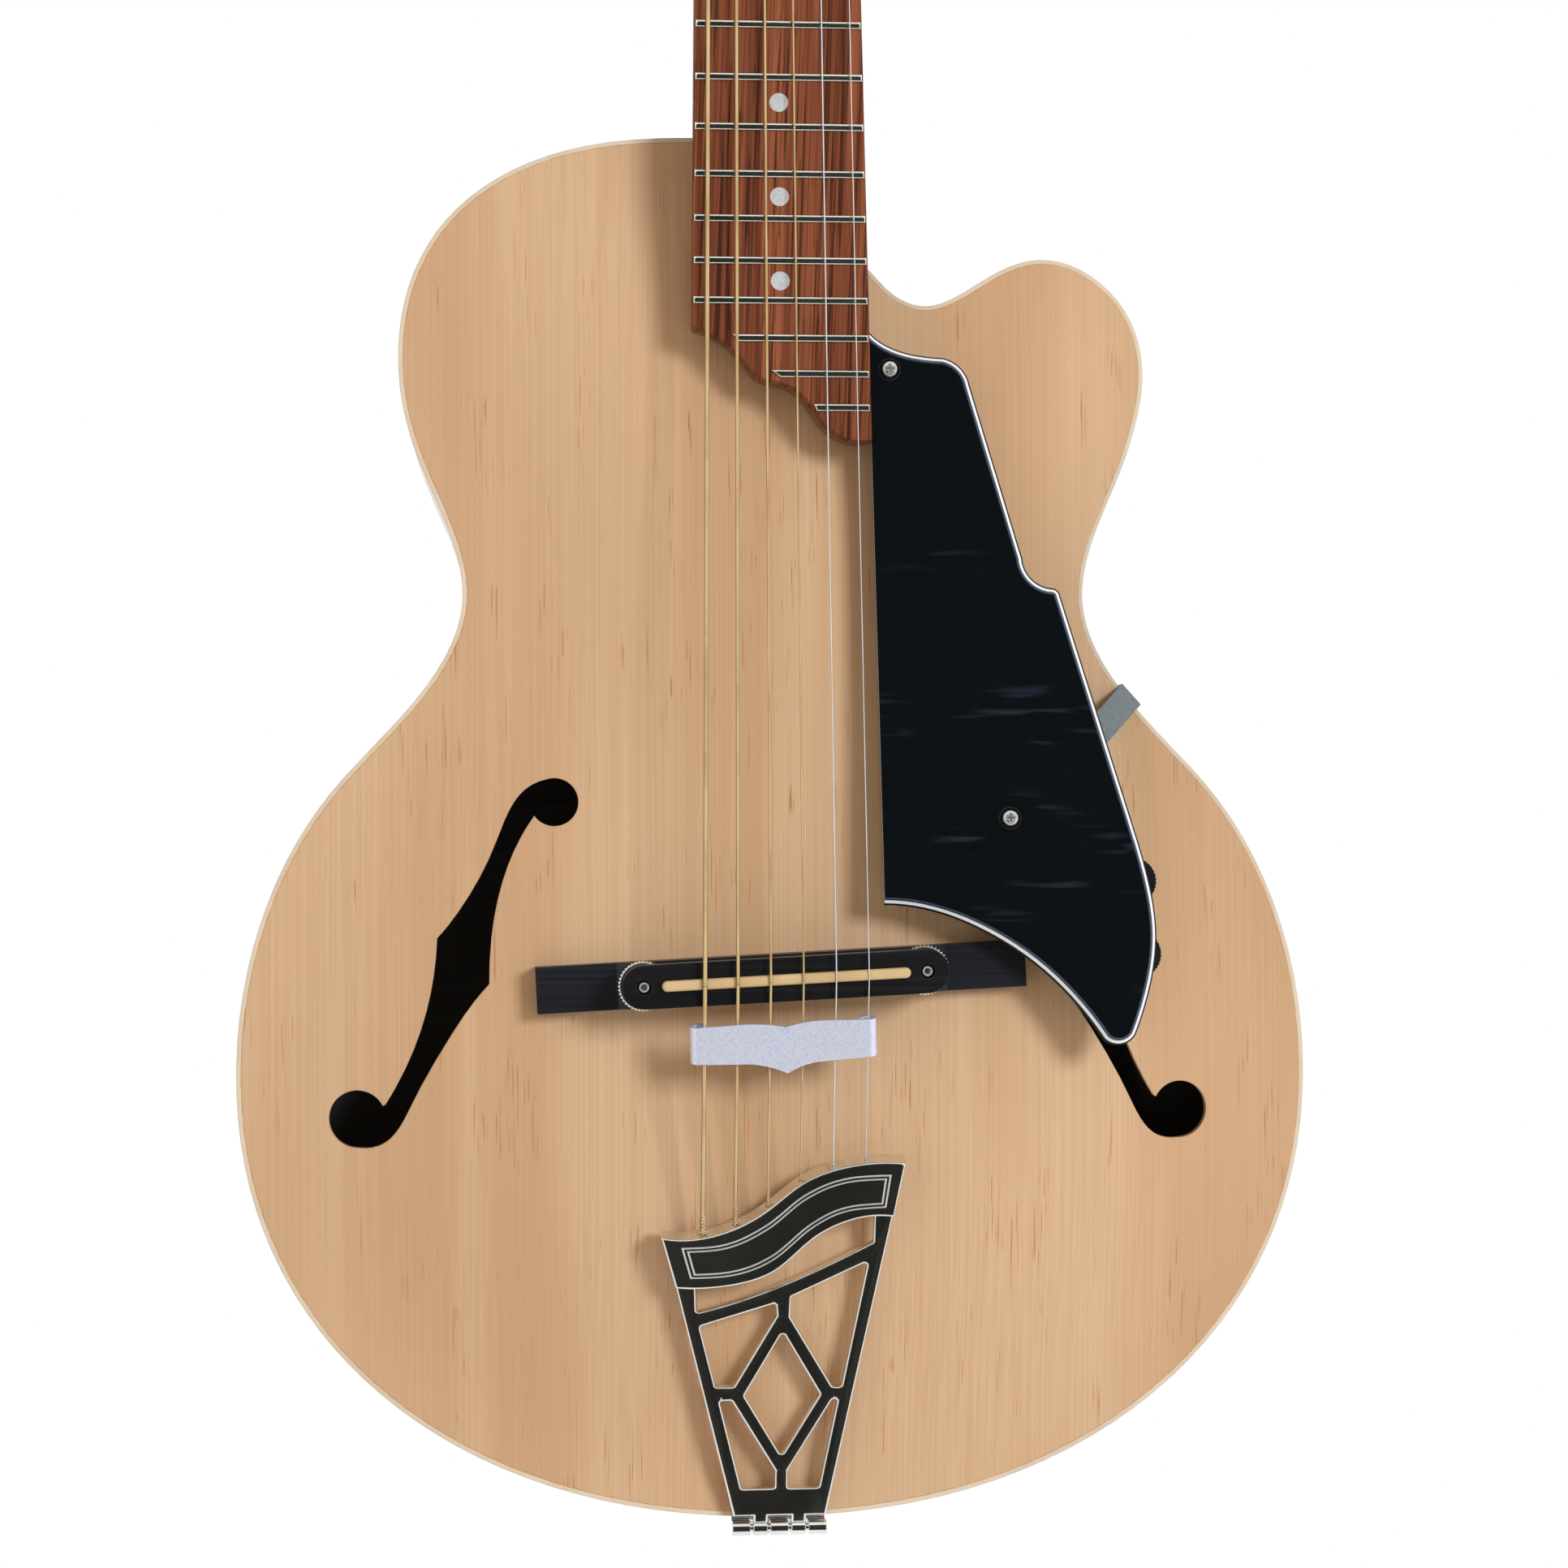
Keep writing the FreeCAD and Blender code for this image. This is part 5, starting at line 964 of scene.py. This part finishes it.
def ridge(mesh: Mesh, path: Points, half: float, height: float, placement: Matrix) -> None:
    """Adds a roof-shaped line along a closed path on a plane that faces the front.

    Args:
        mesh: The mesh to add to.
        path: Points in the plane's own frame.
        half: Half the line's width.
        height: How far its crest stands out.
        placement: From the plane's own frame to the row frame.
    """
    ways = inward(path)
    foot = -0.2 * height
    rings = [[mesh.verts.new(placement @ (p + w * share - Vector((0.0, lift, 0.0))))
              for p, w in zip(path, ways)] for share, lift in ((half, foot), (0.0, height), (-half, foot))]
    bridge_rings(mesh, rings, closed=True)


def turned(mesh: Mesh, section: list[Point], placement: Matrix, steps: int = 40, knurls: int = 0,
           knurl_depth: float = 0.0) -> None:
    """Adds a ring turned about the X axis, knurled on its outside where asked.

    Args:
        mesh: The mesh to add to.
        section: Corners of the ring's section in order: place along X and distance from the axis.
        placement: From the ring's own frame to the row frame.
        steps: Faces round the ring.
        knurls: How many teeth it has.
        knurl_depth: How deep the gaps between them are.
    """
    widest = max(radius for _, radius in section)
    rings = []
    for x, radius in section:
        ring = []
        for angle in angles(steps):
            here = radius
            if knurls and radius > widest - 2 * knurl_depth:
                here -= knurl_depth * (0.5 - 0.5 * math.cos(knurls * angle))
            spot = Vector((x, here * math.cos(angle), here * math.sin(angle)))
            ring.append(mesh.verts.new(placement @ spot))
        rings.append(ring)
    bridge_rings(mesh, rings, closed=True)


def barrel(start: float, end: float, radius: float, bore: float, chamfer: float) -> list[Point]:
    """The section of a bored barrel with chamfered rims, as turned() takes it.

    Args:
        start: Where it starts along its axis.
        end: Where it ends.
        radius: Its outer radius.
        bore: Radius of its bore.
        chamfer: Width of the chamfers.

    Returns:
        The section's corners in order.
    """
    return [(start, bore), (start, radius - chamfer), (start + chamfer, radius), (end - chamfer, radius),
            (end, radius - chamfer), (end, bore)]


def facing_front(low: Vector, high: Vector) -> Matrix:
    """A frame whose X axis runs back from the middle of a box's front.

    Args:
        low: Lowest corner of the box.
        high: Highest corner of the box.

    Returns:
        From that frame to the row frame.
    """
    front = Vector(((low.x + high.x) / 2, low.y, (low.z + high.z) / 2))
    return Matrix.Translation(front) @ Matrix.Rotation(math.pi / 2, 4, "Z")


def tube(mesh: Mesh, path: Points, radius: float, faces: int = 12, closed: bool = False) -> None:
    """Adds a round tube along a path.

    Args:
        mesh: The mesh to add to.
        path: Points along the middle of the tube, in metres.
        radius: Radius in metres.
        faces: Faces round the tube.
        closed: Whether the path comes back to its start.
    """
    count = len(path)
    rings = []
    normal = None
    for i, point in enumerate(path):
        before = path[(i - 1) % count] if closed or i else point
        after = path[(i + 1) % count] if closed or i < count - 1 else point
        along = (after - before).normalized()
        if normal is None:
            normal = along.orthogonal().normalized()
        normal = (normal - along * normal.dot(along)).normalized()
        other = along.cross(normal)
        rings.append([mesh.verts.new(point + (normal * math.cos(angle) + other * math.sin(angle)) * radius)
                      for angle in angles(faces)])
    bridge_rings(mesh, rings, closed)
    if not closed:
        mesh.faces.new(list(reversed(rings[0])))
        mesh.faces.new(rings[-1])


def crests() -> list[Triple]:
    """Where the middle of each string crosses the saddle.

    Returns:
        Points in millimetres, from the lowest string to the highest.
    """
    middle = (len(GAUGES) - 1) / 2
    y, z = SADDLE_CREST
    return [(STRING_GAP * (k - middle), y - gauge / 2, z + SADDLE_RISE * (k - middle))
            for k, gauge in enumerate(GAUGES)]


def smooth_path(points: tuple[Point, ...], steps: int) -> list[Point]:
    """A rounded line through points.

    Args:
        points: Points in a plane.
        steps: Parts between each two of them.

    Returns:
        Points along the line.
    """
    line = []
    padded = [points[0], *points, points[-1]]
    for a, b, c, d in zip(padded, padded[1:], padded[2:], padded[3:]):
        for i in range(steps):
            t = i / steps
            x, z = (0.5 * (2 * q + (r - p) * t + (2 * p - 5 * q + 4 * r - s) * t * t
                           + (3 * q - p - 3 * r + s) * t ** 3) for p, q, r, s in zip(a, b, c, d))
            line.append((x, z))
    line.append(points[-1])
    return line


@dataclass
class Body:
    """The arched shell: plates, rim, bindings and what is inside."""

    build: Builder

    def make(self) -> None:
        """Dresses every node of the shell."""
        finishes = self.build.finishes
        self.build.dress(finishes.spruce, "top_plate")
        self.build.dress(finishes.maple_back, "back_plate")
        self.build.dress(finishes.maple_rim, "rim_sides")
        self.build.dress(finishes.cream, "top_binding", "back_binding", "heel_cap")
        # The inner parts are dressed in near-black painted shade.
        self.build.dress(finishes.inner_wood, "top_lining", "back_lining", "neck_block", "tail_block",
                         "tone_bars")
        self.build.dress(finishes.nickel, "end_pin")


@dataclass
class Leaning:
    """A sub-assembly that lies in a plane of its own, which faces the front and leans about X."""

    build: Builder
    seat: Vector
    pitch: float

    @property
    def placement(self) -> Matrix:
        """From the sub-assembly's own plane to the row frame."""
        return Matrix.Translation(self.seat) @ Matrix.Rotation(self.pitch, 4, "X")


@dataclass
class Neck(Leaning):
    """Neck, fretboard, headstock and tuning machines."""

    seat: Vector = Vector((0.0, -0.014706, -0.0172278))
    pitch: float = BOARD_PITCH
    tuners: int = 6
    fret_edge: float = 0.65 * MM
    fret_sink: float = 0.2 * MM

    def fret_crowns(self) -> None:
        """Builds the frets with polished flat crowns and rounded edges in place of the CAD ones."""
        mesh = bmesh.new()
        for points in self.build.islands("frets", self.placement):
            crown = min(p.y for p in points)
            plate(mesh, [hull(points)], crown, self.fret_sink, self.fret_edge, self.placement)
        self.build.piece("fret_crowns", mesh, "guitar", "nickel", self.build.finishes.fret_metal, flat=True,
                         instead_of="frets")

    def make(self) -> None:
        """Builds the frets and dresses every node of the neck."""
        finishes = self.build.finishes
        self.fret_crowns()
        self.build.dress(finishes.maple_neck, "neck")
        self.build.dress(finishes.rosewood, "fretboard")
        self.build.dress(finishes.pearl, "dot_inlays")
        self.build.dress(finishes.bone, "nut")
        self.build.dress(finishes.ebony, "headstock_face")
        self.build.dress(finishes.black, "truss_rod_cover")
        self.build.dress(finishes.steel, "truss_rod", "truss_rod_nut")
        self.build.dress(finishes.tuner_nickel, "tuner_housings", "tuner_bushings", "headstock_screws")
        for number in range(1, self.tuners + 1):
            self.build.dress(finishes.tuner_nickel, f"tuner_post_{number}", f"tuner_button_{number}")


@dataclass
class Pickguard(Leaning):
    """The layered pickguard with its bevelled edge, screws, bracket and controls."""

    seat: Vector = Vector((0.0, -0.045816, -0.645228))
    pitch: float = BOARD_PITCH
    screw_places: tuple[Point, ...] = ((34.0 * MM, 189.7 * MM), (70.0 * MM, 50.1 * MM))
    head_radius: float = 2.4 * MM
    head_rise: float = 0.7 * MM
    head_face: float = 0.01 * MM
    dish_radius: float = 3.3 * MM
    dish_lip: float = 0.22 * MM
    dish_steps: int = 40
    dish_faces: int = 10
    # Rings of the bevelled edge from the back to the front, as inset and depth in millimetres, and the bands
    # between them; the BEVEL bands carry a painted reflection.
    steps: tuple[Point, ...] = ((0.0, 3.0), (0.0, 2.2), (0.55, 1.65), (1.42, 0.78), (1.95, 0.25),
                                (2.25, 0.06), (2.65, 0.0))
    bands: tuple[Ply, ...] = (Ply.EDGE, Ply.EDGE, Ply.WHITE, Ply.BEVEL, Ply.BEVEL, Ply.FRONT)
    # An edge that faces the strings more squarely than this cosine is left plain, and the limits of a mitre.
    string_side: float = 0.995
    least_slide: float = 0.2
    least_mitre: float = 0.5
    bracket_edge: float = 0.35 * MM

    def bevels(self, loop: Points) -> Points:
        """Inward direction at each point, with no bevel along the string side.

        Args:
            loop: The outline, anticlockwise.

        Returns:
            One vector per point, which is zero along the string side and moves the other edges by one unit.
        """
        ways = []
        for (along_a, in_a), (along_b, in_b) in sides(loop):
            plain_a, plain_b = in_a.x > self.string_side, in_b.x > self.string_side
            if plain_a and plain_b:
                ways.append(Vector((0.0, 0.0, 0.0)))
            elif plain_a or plain_b:
                slide, inside = (along_a, in_b) if plain_a else (along_b, in_a)
                lean = slide.dot(inside)
                ways.append(slide / max(self.least_slide, abs(lean)) * (1 if lean > 0 else -1))
            else:
                middle = (in_a + in_b).normalized()
                ways.append(middle / max(self.least_mitre, middle.dot(in_a)))
        return ways

    def plies(self) -> None:
        """Builds the three plies as one bevelled piece in place of the CAD sheet."""
        loop = self.build.front_loops("pickguard", self.placement, 0.0)[0]
        ways = self.bevels(loop)
        mesh = bmesh.new()
        rings = []
        for inset, depth in self.steps:
            spots = [point + way * (inset * MM) for point, way in zip(loop, ways)]
            rings.append([mesh.verts.new(self.placement @ Vector((spot.x, depth * MM, spot.z)))
                          for spot in spots])
        count = len(loop)
        for band, outer, inner in zip(self.bands, rings, rings[1:]):
            for i in range(count):
                k = (i + 1) % count
                face = mesh.faces.new((outer[i], outer[k], inner[k], inner[i]))
                plain = not (ways[i].length or ways[k].length)
                face.material_index = (Ply.EDGE if plain and band is not Ply.FRONT else band).value
        mesh.faces.new(rings[-1])
        mesh.faces.new(list(reversed(rings[0])))
        finishes = self.build.finishes
        self.build.piece("pickguard_plies", mesh, "guitar", "black_plastic", finishes.guard_black,
                         finishes.guard_white, finishes.guard_edge, finishes.guard_bevel_reflection, smooth=False,
                         instead_of="pickguard")

    def dishes(self) -> None:
        """Adds the dished rings round the screw heads."""
        mesh = bmesh.new()
        for x, z in self.screw_places:
            path = []
            for angle in angles(self.dish_steps):
                across, up = self.dish_radius * math.cos(angle), self.dish_radius * math.sin(angle)
                path.append(self.placement @ Vector((x + across, 0.0, z + up)))
            tube(mesh, path, self.dish_lip, self.dish_faces, closed=True)
        self.build.piece("pickguard_dishes", mesh, "guitar", "black_plastic", self.build.finishes.black)

    def heads(self) -> None:
        """Adds the domed heads with a cross recess on the screws' flat heads."""
        mesh = bmesh.new()
        for points in self.build.islands("pickguard_screws", self.placement):
            low = min(p.y for p in points)
            face = [p for p in points if p.y < low + self.head_face]
            spot = sum(face, Vector()) / len(face)
            if any(math.dist((spot.x, spot.z), place) < self.head_radius for place in self.screw_places):
                screw_head(mesh, Vector((spot.x, low, spot.z)), self.head_radius, self.head_rise,
                           self.placement)
        self.build.piece("pickguard_screw_heads", mesh, "guitar", "steel", self.build.finishes.screw_steel)

    def make(self) -> None:
        """Builds the plies and dresses the rest."""
        finishes = self.build.finishes
        self.plies()
        self.dishes()
        self.heads()
        self.build.dress(finishes.screw_steel, "pickguard_screws")
        # The support under the guard is dressed in the near-black painted shade.
        self.build.dress(finishes.inner_wood, "pickguard_support")
        self.build.dress(finishes.bracket, "pickguard_bracket")
        self.build.soften(self.bracket_edge, "pickguard_bracket")
        self.build.dress(finishes.black, "volume_wheel", "tone_wheel")
        self.build.dress(finishes.circuit, "control_board")


@dataclass
class Bridge:
    """Floating bridge with its height wheels."""

    build: Builder
    edge: float = 0.4 * MM
    wheel_bore: float = 1.85 * MM
    wheel_chamfer: float = 0.6 * MM
    knurls: int = 40
    knurl_depth: float = 0.3 * MM
    knurl_steps: int = 6
    tip: tuple[Point, ...] = ((-0.05, 1.78), (-0.28, 1.35), (-0.05, 0.92), (0.1, 1.35))

    def wheel(self, name: str) -> None:
        """Builds a knurled thumbwheel with chamfered rims in place of the CAD one.

        Args:
            name: Name of the wheel's node and body.
        """
        low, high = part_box(name)
        section = barrel(0.0, high.y - low.y, (high.x - low.x) / 2, self.wheel_bore, self.wheel_chamfer)
        mesh = bmesh.new()
        turned(mesh, section, facing_front(low, high), self.knurls * self.knurl_steps, self.knurls,
               self.knurl_depth)
        self.build.piece(f"{name}_knurled", mesh, name, "nickel", self.build.finishes.nickel, flat=True,
                         instead_of=name)

    def tips(self) -> None:
        """Adds the polished rims round the posts' sockets."""
        mesh = bmesh.new()
        section = [(x * MM, radius * MM) for x, radius in self.tip]
        for points in self.build.islands("bridge_posts", Matrix.Identity(4)):
            low, high = (Vector(pick(p[i] for p in points) for i in range(3)) for pick in (min, max))
            turned(mesh, section, facing_front(low, high))
        self.build.piece("bridge_post_tips", mesh, "guitar", "nickel", self.build.finishes.nickel)

    def make(self) -> None:
        """Builds the wheels and dresses every node of the bridge."""
        finishes = self.build.finishes
        self.build.dress(finishes.ebony_base, "bridge_base")
        self.build.dress(finishes.ebony, "bridge_top")
        self.build.dress(finishes.bone, "saddle")
        self.build.dress(finishes.screw_steel, "bridge_posts")
        self.build.soften(self.edge, "bridge_base", "bridge_top")
        self.tips()
        for name in ("bridge_wheel_bass", "bridge_wheel_treble"):
            self.wheel(name)


@dataclass
class Strings:
    """The six strings with their bends over the saddle."""

    build: Builder
    rise: float = math.radians(3.4)
    fall: float = math.radians(13.3)
    reach: float = 0.25 * MM

    def bends(self) -> None:
        """Closes the strings over the saddle with short bent pieces."""
        mesh = bmesh.new()
        up = Vector((0.0, math.sin(self.rise), math.cos(self.rise)))
        down = Vector((0.0, math.sin(self.fall), -math.cos(self.fall)))
        for spot, diameter in zip(crests(), GAUGES):
            middle = Vector(spot) * MM
            tube(mesh, [middle + up * self.reach, middle, middle + down * self.reach], diameter * MM / 2)
        self.build.piece("string_bends", mesh, "bridge_saddle", "string_metal", self.build.finishes.tails)

    def make(self) -> None:
        """Dresses the strings and adds the bends."""
        finishes = self.build.finishes
        self.build.dress(finishes.sounding, "strings")
        self.build.dress(finishes.tails, "string_tails")
        self.build.dress(finishes.wound_ends, "string_ends")
        self.build.dress(finishes.steel, "ball_ends")
        self.bends()


@dataclass
class Tailpiece(Leaning):
    """Hinged tailpiece with the engraved panel on its crossbar, and the clip across the strings."""

    seat: Vector = Vector((0.0, -0.012941, -0.818328))
    pitch: float = math.radians(13.26021)
    twist_length: float = 6.5 * MM
    twist_turns: float = 3.0
    twist_steps: int = 36
    twist_swell: float = 0.42
    twist_taper: float = 4.0
    strands: int = 2
    strand_radius: float = 0.36
    strand_faces: int = 8
    frame_front: float = -1.3 * MM
    bar_front: float = -4.0 * MM
    edge: float = 0.72 * MM
    barrel_radius: float = 2.3 * MM
    barrel_bore: float = 1.25 * MM
    barrel_chamfer: float = 0.35 * MM
    barrels: tuple[Point, ...] = ((-8.4, -3.6), (3.6, 8.4))
    line_half: float = 0.33 * MM
    line_height: float = 0.3 * MM
    # The crossbar's two waves, in millimetres, and the parts into which each of their runs is divided.
    upper: tuple[Point, ...] = ((-38.0, 98.3), (-20.0, 99.3), (-6.6, 105.9), (5.7, 115.6), (19.0, 120.6),
                                (37.1, 121.4))
    lower: tuple[Point, ...] = ((-33.4, 81.8), (-15.5, 82.4), (-3.0, 86.7), (9.3, 97.4), (19.5, 102.7),
                                (33.9, 104.0))
    wave_steps: int = 16
    # The panel's left end, right end and lower margin as shares of the crossbar, and how far its second line
    # is drawn in.
    panel: Triple = (0.075, 0.94, 0.21)
    groove: float = 0.064
    groove_ends: float = 0.22
    panel_steps: int = 60
    panel_end_steps: int = 8

    def lattice(self) -> None:
        """Builds the lattice with rounded edges and its two hinge barrels in place of the CAD frame."""
        mesh = bmesh.new()
        loops = self.build.front_loops("tailpiece_frame", self.placement, self.frame_front)
        plate(mesh, loops, self.frame_front, -self.frame_front, self.edge, self.placement)
        for start, end in self.barrels:
            section = barrel(start * MM, end * MM, self.barrel_radius, self.barrel_bore, self.barrel_chamfer)
            turned(mesh, section, self.placement)
        self.build.piece("tailpiece_lattice", mesh, "tailpiece", "nickel", self.build.finishes.nickel,
                         flat=True, instead_of="tailpiece_frame")

    def crossbar(self) -> None:
        """Builds the crossbar with rounded front edges in place of the CAD one."""
        mesh = self.build.rounded_copy("tailpiece_crossbar", self.placement, self.bar_front, self.edge)
        self.build.piece("crossbar_casting", mesh, "tailpiece", "nickel", self.build.finishes.nickel,
                         flat=True, instead_of="tailpiece_crossbar")

    def bar_spot(self, share: float, height: float) -> Vector:
        """A point on the crossbar's face.

        Args:
            share: How far along the bar, from 0 to 1.
            height: How far up from its lower wave to its upper one, from 0 to 1.

        Returns:
            The point in the tailpiece's own plane.
        """
        ends = []
        for wave in (self.lower, self.upper):
            line = smooth_path(wave, self.wave_steps)
            place = share * (len(line) - 1)
            i = min(int(place), len(line) - 2)
            t = place - i
            ends.append([a * (1 - t) + b * t for a, b in zip(line[i], line[i + 1])])
        x, z = (low + (top - low) * height for low, top in zip(*ends))
        return Vector((x * MM, self.bar_front, z * MM))

    def panel_loop(self, inset: float) -> Points:
        """The panel's outline on the crossbar's face.

        Args:
            inset: How far it is drawn in, as a share of the bar's height.

        Returns:
            Points of a closed loop in the tailpiece's own plane.
        """
        left, right, edge = self.panel
        left, right, edge = left + inset * self.groove_ends, right - inset * self.groove_ends, edge + inset
        shares = [left + (right - left) * i / self.panel_steps for i in range(self.panel_steps + 1)]
        rises = [(1 - 2 * edge) * i / self.panel_end_steps for i in range(1, self.panel_end_steps)]
        loop = [self.bar_spot(share, edge) for share in shares]
        loop += [self.bar_spot(shares[-1], edge + rise) for rise in rises]
        loop += [self.bar_spot(share, 1 - edge) for share in reversed(shares)]
        loop += [self.bar_spot(shares[0], 1 - edge - rise) for rise in rises]
        return loop

    def engraving(self) -> None:
        """Adds the two bright lines of the engraved panel."""
        mesh = bmesh.new()
        for inset in (0.0, self.groove):
            ridge(mesh, self.panel_loop(inset), self.line_half, self.line_height, self.placement)
        self.build.piece("crossbar_panel_lines", mesh, "tailpiece", "nickel", self.build.finishes.nickel)

    def twists(self) -> None:
        """Adds the twisted loops that lock each string to its ball end, just above the crossbar."""
        mesh = bmesh.new()
        line = smooth_path(self.upper, self.wave_steps)
        for spot, diameter in zip(crests(), GAUGES):
            (x_a, z_a), (x_b, z_b) = next((a, b) for a, b in zip(line, line[1:]) if a[0] <= spot[0] <= b[0])
            z = z_a + (z_b - z_a) * (spot[0] - x_a) / (x_b - x_a)
            start = self.placement @ (Vector((spot[0], 0.0, z)) * MM)
            along = (Vector(spot) * MM - start).normalized()
            side = along.orthogonal().normalized()
            other = along.cross(side)
            for strand in range(self.strands):
                path = []
                for i in range(self.twist_steps + 1):
                    share = i / self.twist_steps
                    angle = 2 * math.pi * (share * self.twist_turns + strand / self.strands)
                    swell = diameter * MM * self.twist_swell * min(1.0, self.twist_taper * (1 - share))
                    away = (side * math.cos(angle) + other * math.sin(angle)) * swell
                    path.append(start + along * (self.twist_length * share) + away)
                tube(mesh, path, diameter * MM * self.strand_radius, self.strand_faces)
        self.build.piece("string_twists", mesh, "tailpiece", "string_metal", self.build.finishes.tails)

    def make(self) -> None:
        """Builds the tailpiece and dresses what carries it."""
        finishes = self.build.finishes
        self.build.dress(finishes.nickel, "hinge_plate", "tail_screws", "hinge_pin")
        self.build.dress(finishes.clip, "string_damper")
        self.lattice()
        self.crossbar()
        self.engraving()
        self.twists()


@dataclass(frozen=True)
class Lamp:
    """A square soft lamp: where it stands, its side in metres, its power in watts and its colour."""

    name: str
    place: Triple
    side: float
    power: float
    colour: Colour

    def make(self, target: Vector) -> None:
        """Hangs the lamp.

        Args:
            target: The point that it faces.
        """
        data = bpy.data.lights.new(self.name, "AREA")
        data.size = self.side
        data.energy = self.power
        data.color = self.colour
        item = bpy.data.objects.new(self.name, data)
        item.location = self.place
        item.rotation_euler = (target - Vector(self.place)).to_track_quat("-Z", "Y").to_euler()
        item.visible_glossy = False
        bpy.context.scene.collection.objects.link(item)


@dataclass(frozen=True)
class Card:
    """A flat sheet that is not part of the object: its colour, how far that fades, and its corners."""

    CLOUD_CELLS: ClassVar[Triple] = (7.0, 7.0, 1.5)
    CLOUD_RANGE: ClassVar[Point] = (0.4, 0.62)
    ROUGHNESS: ClassVar[float] = 0.9

    name: str
    colour: Colour
    fade: float
    corners: tuple[Triple, ...]

    def make(self) -> bpy.types.Object:
        """Puts the card up.

        Returns:
            The card.
        """
        data = bpy.data.meshes.new(self.name)
        data.from_pydata(list(self.corners), [], [tuple(range(len(self.corners)))])
        graph = Graph(self.name)
        cloud = graph.ramp(graph.noise(self.CLOUD_CELLS, detail=2.0), *self.CLOUD_RANGE)
        faded = tuple(level * self.fade for level in self.colour)
        graph.set(Base_Color=graph.mix(cloud, self.colour, faded), Roughness=self.ROUGHNESS)
        graph.set(Specular_IOR_Level=0.0)
        data.materials.append(graph.material)
        item = bpy.data.objects.new(self.name, data)
        bpy.context.scene.collection.objects.link(item)
        return item


@dataclass
class Studio:
    """Floor, soft light, dark card and camera."""

    eye: Vector = Vector((-0.0787, -1.02914, -0.59713))
    yaw: float = math.radians(4.566)
    pitch: float = math.radians(0.733)
    roll: float = math.radians(-0.229)
    focal_px: float = 3974.0
    picture_px: float = 1932.0
    sensor: float = 36.0
    far: float = 50.0
    centre: Vector = Vector((0.0, 0.0, -0.6))
    ambient: Colour = (0.45, 0.368, 0.285)
    floor: Card = Card("floor", srgb(242, 242, 240), 0.97,
                       ((-1.6, -1.6, -1.05), (1.6, -1.6, -1.05), (1.6, 0.55, -1.05), (-1.6, 0.55, -1.05)))
    dark_card: Card = Card("dark_card", srgb(80, 87, 92), 0.6,
                           ((-1.5, -1.9, -2.6), (1.5, -1.9, -2.6), (1.5, -1.9, 0.6), (-1.5, -1.9, 0.6)))
    lamps: tuple[Lamp, ...] = (Lamp("key_lamp", (1.74, -2.86, 0.32), 0.92, 78.0, (0.88, 0.94, 1.0)),
                               Lamp("fill_lamp", (-1.3, -1.5, -0.4), 1.4, 4.0, WHITE))

    def camera(self) -> None:
        """Places the camera where the photograph was taken from."""
        level = math.cos(self.pitch)
        ahead = Vector((math.sin(self.yaw) * level, math.cos(self.yaw) * level, math.sin(self.pitch)))
        right = Vector((math.cos(self.yaw), -math.sin(self.yaw), 0.0))
        up = right.cross(ahead)
        across = right * math.cos(self.roll) + up * math.sin(self.roll)
        up = up * math.cos(self.roll) - right * math.sin(self.roll)
        lens = bpy.data.cameras.new("camera")
        lens.sensor_width = self.sensor
        lens.lens = self.sensor * self.focal_px / self.picture_px
        lens.clip_end = self.far
        camera = bpy.data.objects.new("camera", lens)
        axes = Matrix((across, up, -ahead)).transposed()
        camera.matrix_world = Matrix.Translation(self.eye) @ axes.to_4x4()
        bpy.context.scene.collection.objects.link(camera)
        bpy.context.scene.camera = camera

    def world(self) -> None:
        """White to the camera and to reflections, and a soft plain light for everything else."""
        world = bpy.data.worlds.new("studio")
        bpy.context.scene.world = world
        world.use_nodes = True
        tree = Nodes(world.node_tree)
        rays = tree.node("LightPath").outputs
        seen = tree.math("MAXIMUM", rays["Is Camera Ray"], rays["Is Glossy Ray"])
        seen = tree.math("MAXIMUM", seen, rays["Is Transmission Ray"])
        shade = tree.node("Background", Color=tree.mix(seen, self.ambient, WHITE))
        tree.node("OutputWorld", Surface=shade.outputs["Background"])

    def make(self) -> None:
        """Builds the studio; the dark card shows only in reflections, and the floor does not."""
        self.camera()
        self.world()
        self.floor.make().visible_glossy = False
        card = self.dark_card.make()
        card.visible_camera = False
        card.visible_diffuse = False
        card.visible_shadow = False
        card.visible_transmission = False
        for lamp in self.lamps:
            lamp.make(self.centre)
        bpy.context.scene.view_settings.view_transform = "Standard"
        LOG.info("studio ready")


def main() -> None:
    """Loads the frame, builds the studio and each sub-assembly, and logs each one as done."""
    logging.basicConfig(level=logging.INFO, format="%(name)s: %(message)s")
    for leftover in list(bpy.data.objects):
        bpy.data.objects.remove(leftover)
    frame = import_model()
    build = Builder(frame, Finishes())
    Studio().make()
    for assembly in (Body, Neck, Pickguard, Bridge, Strings, Tailpiece):
        assembly(build).make()
        LOG.info("%s done", assembly.__name__)


if __name__ == "__main__":
    main()
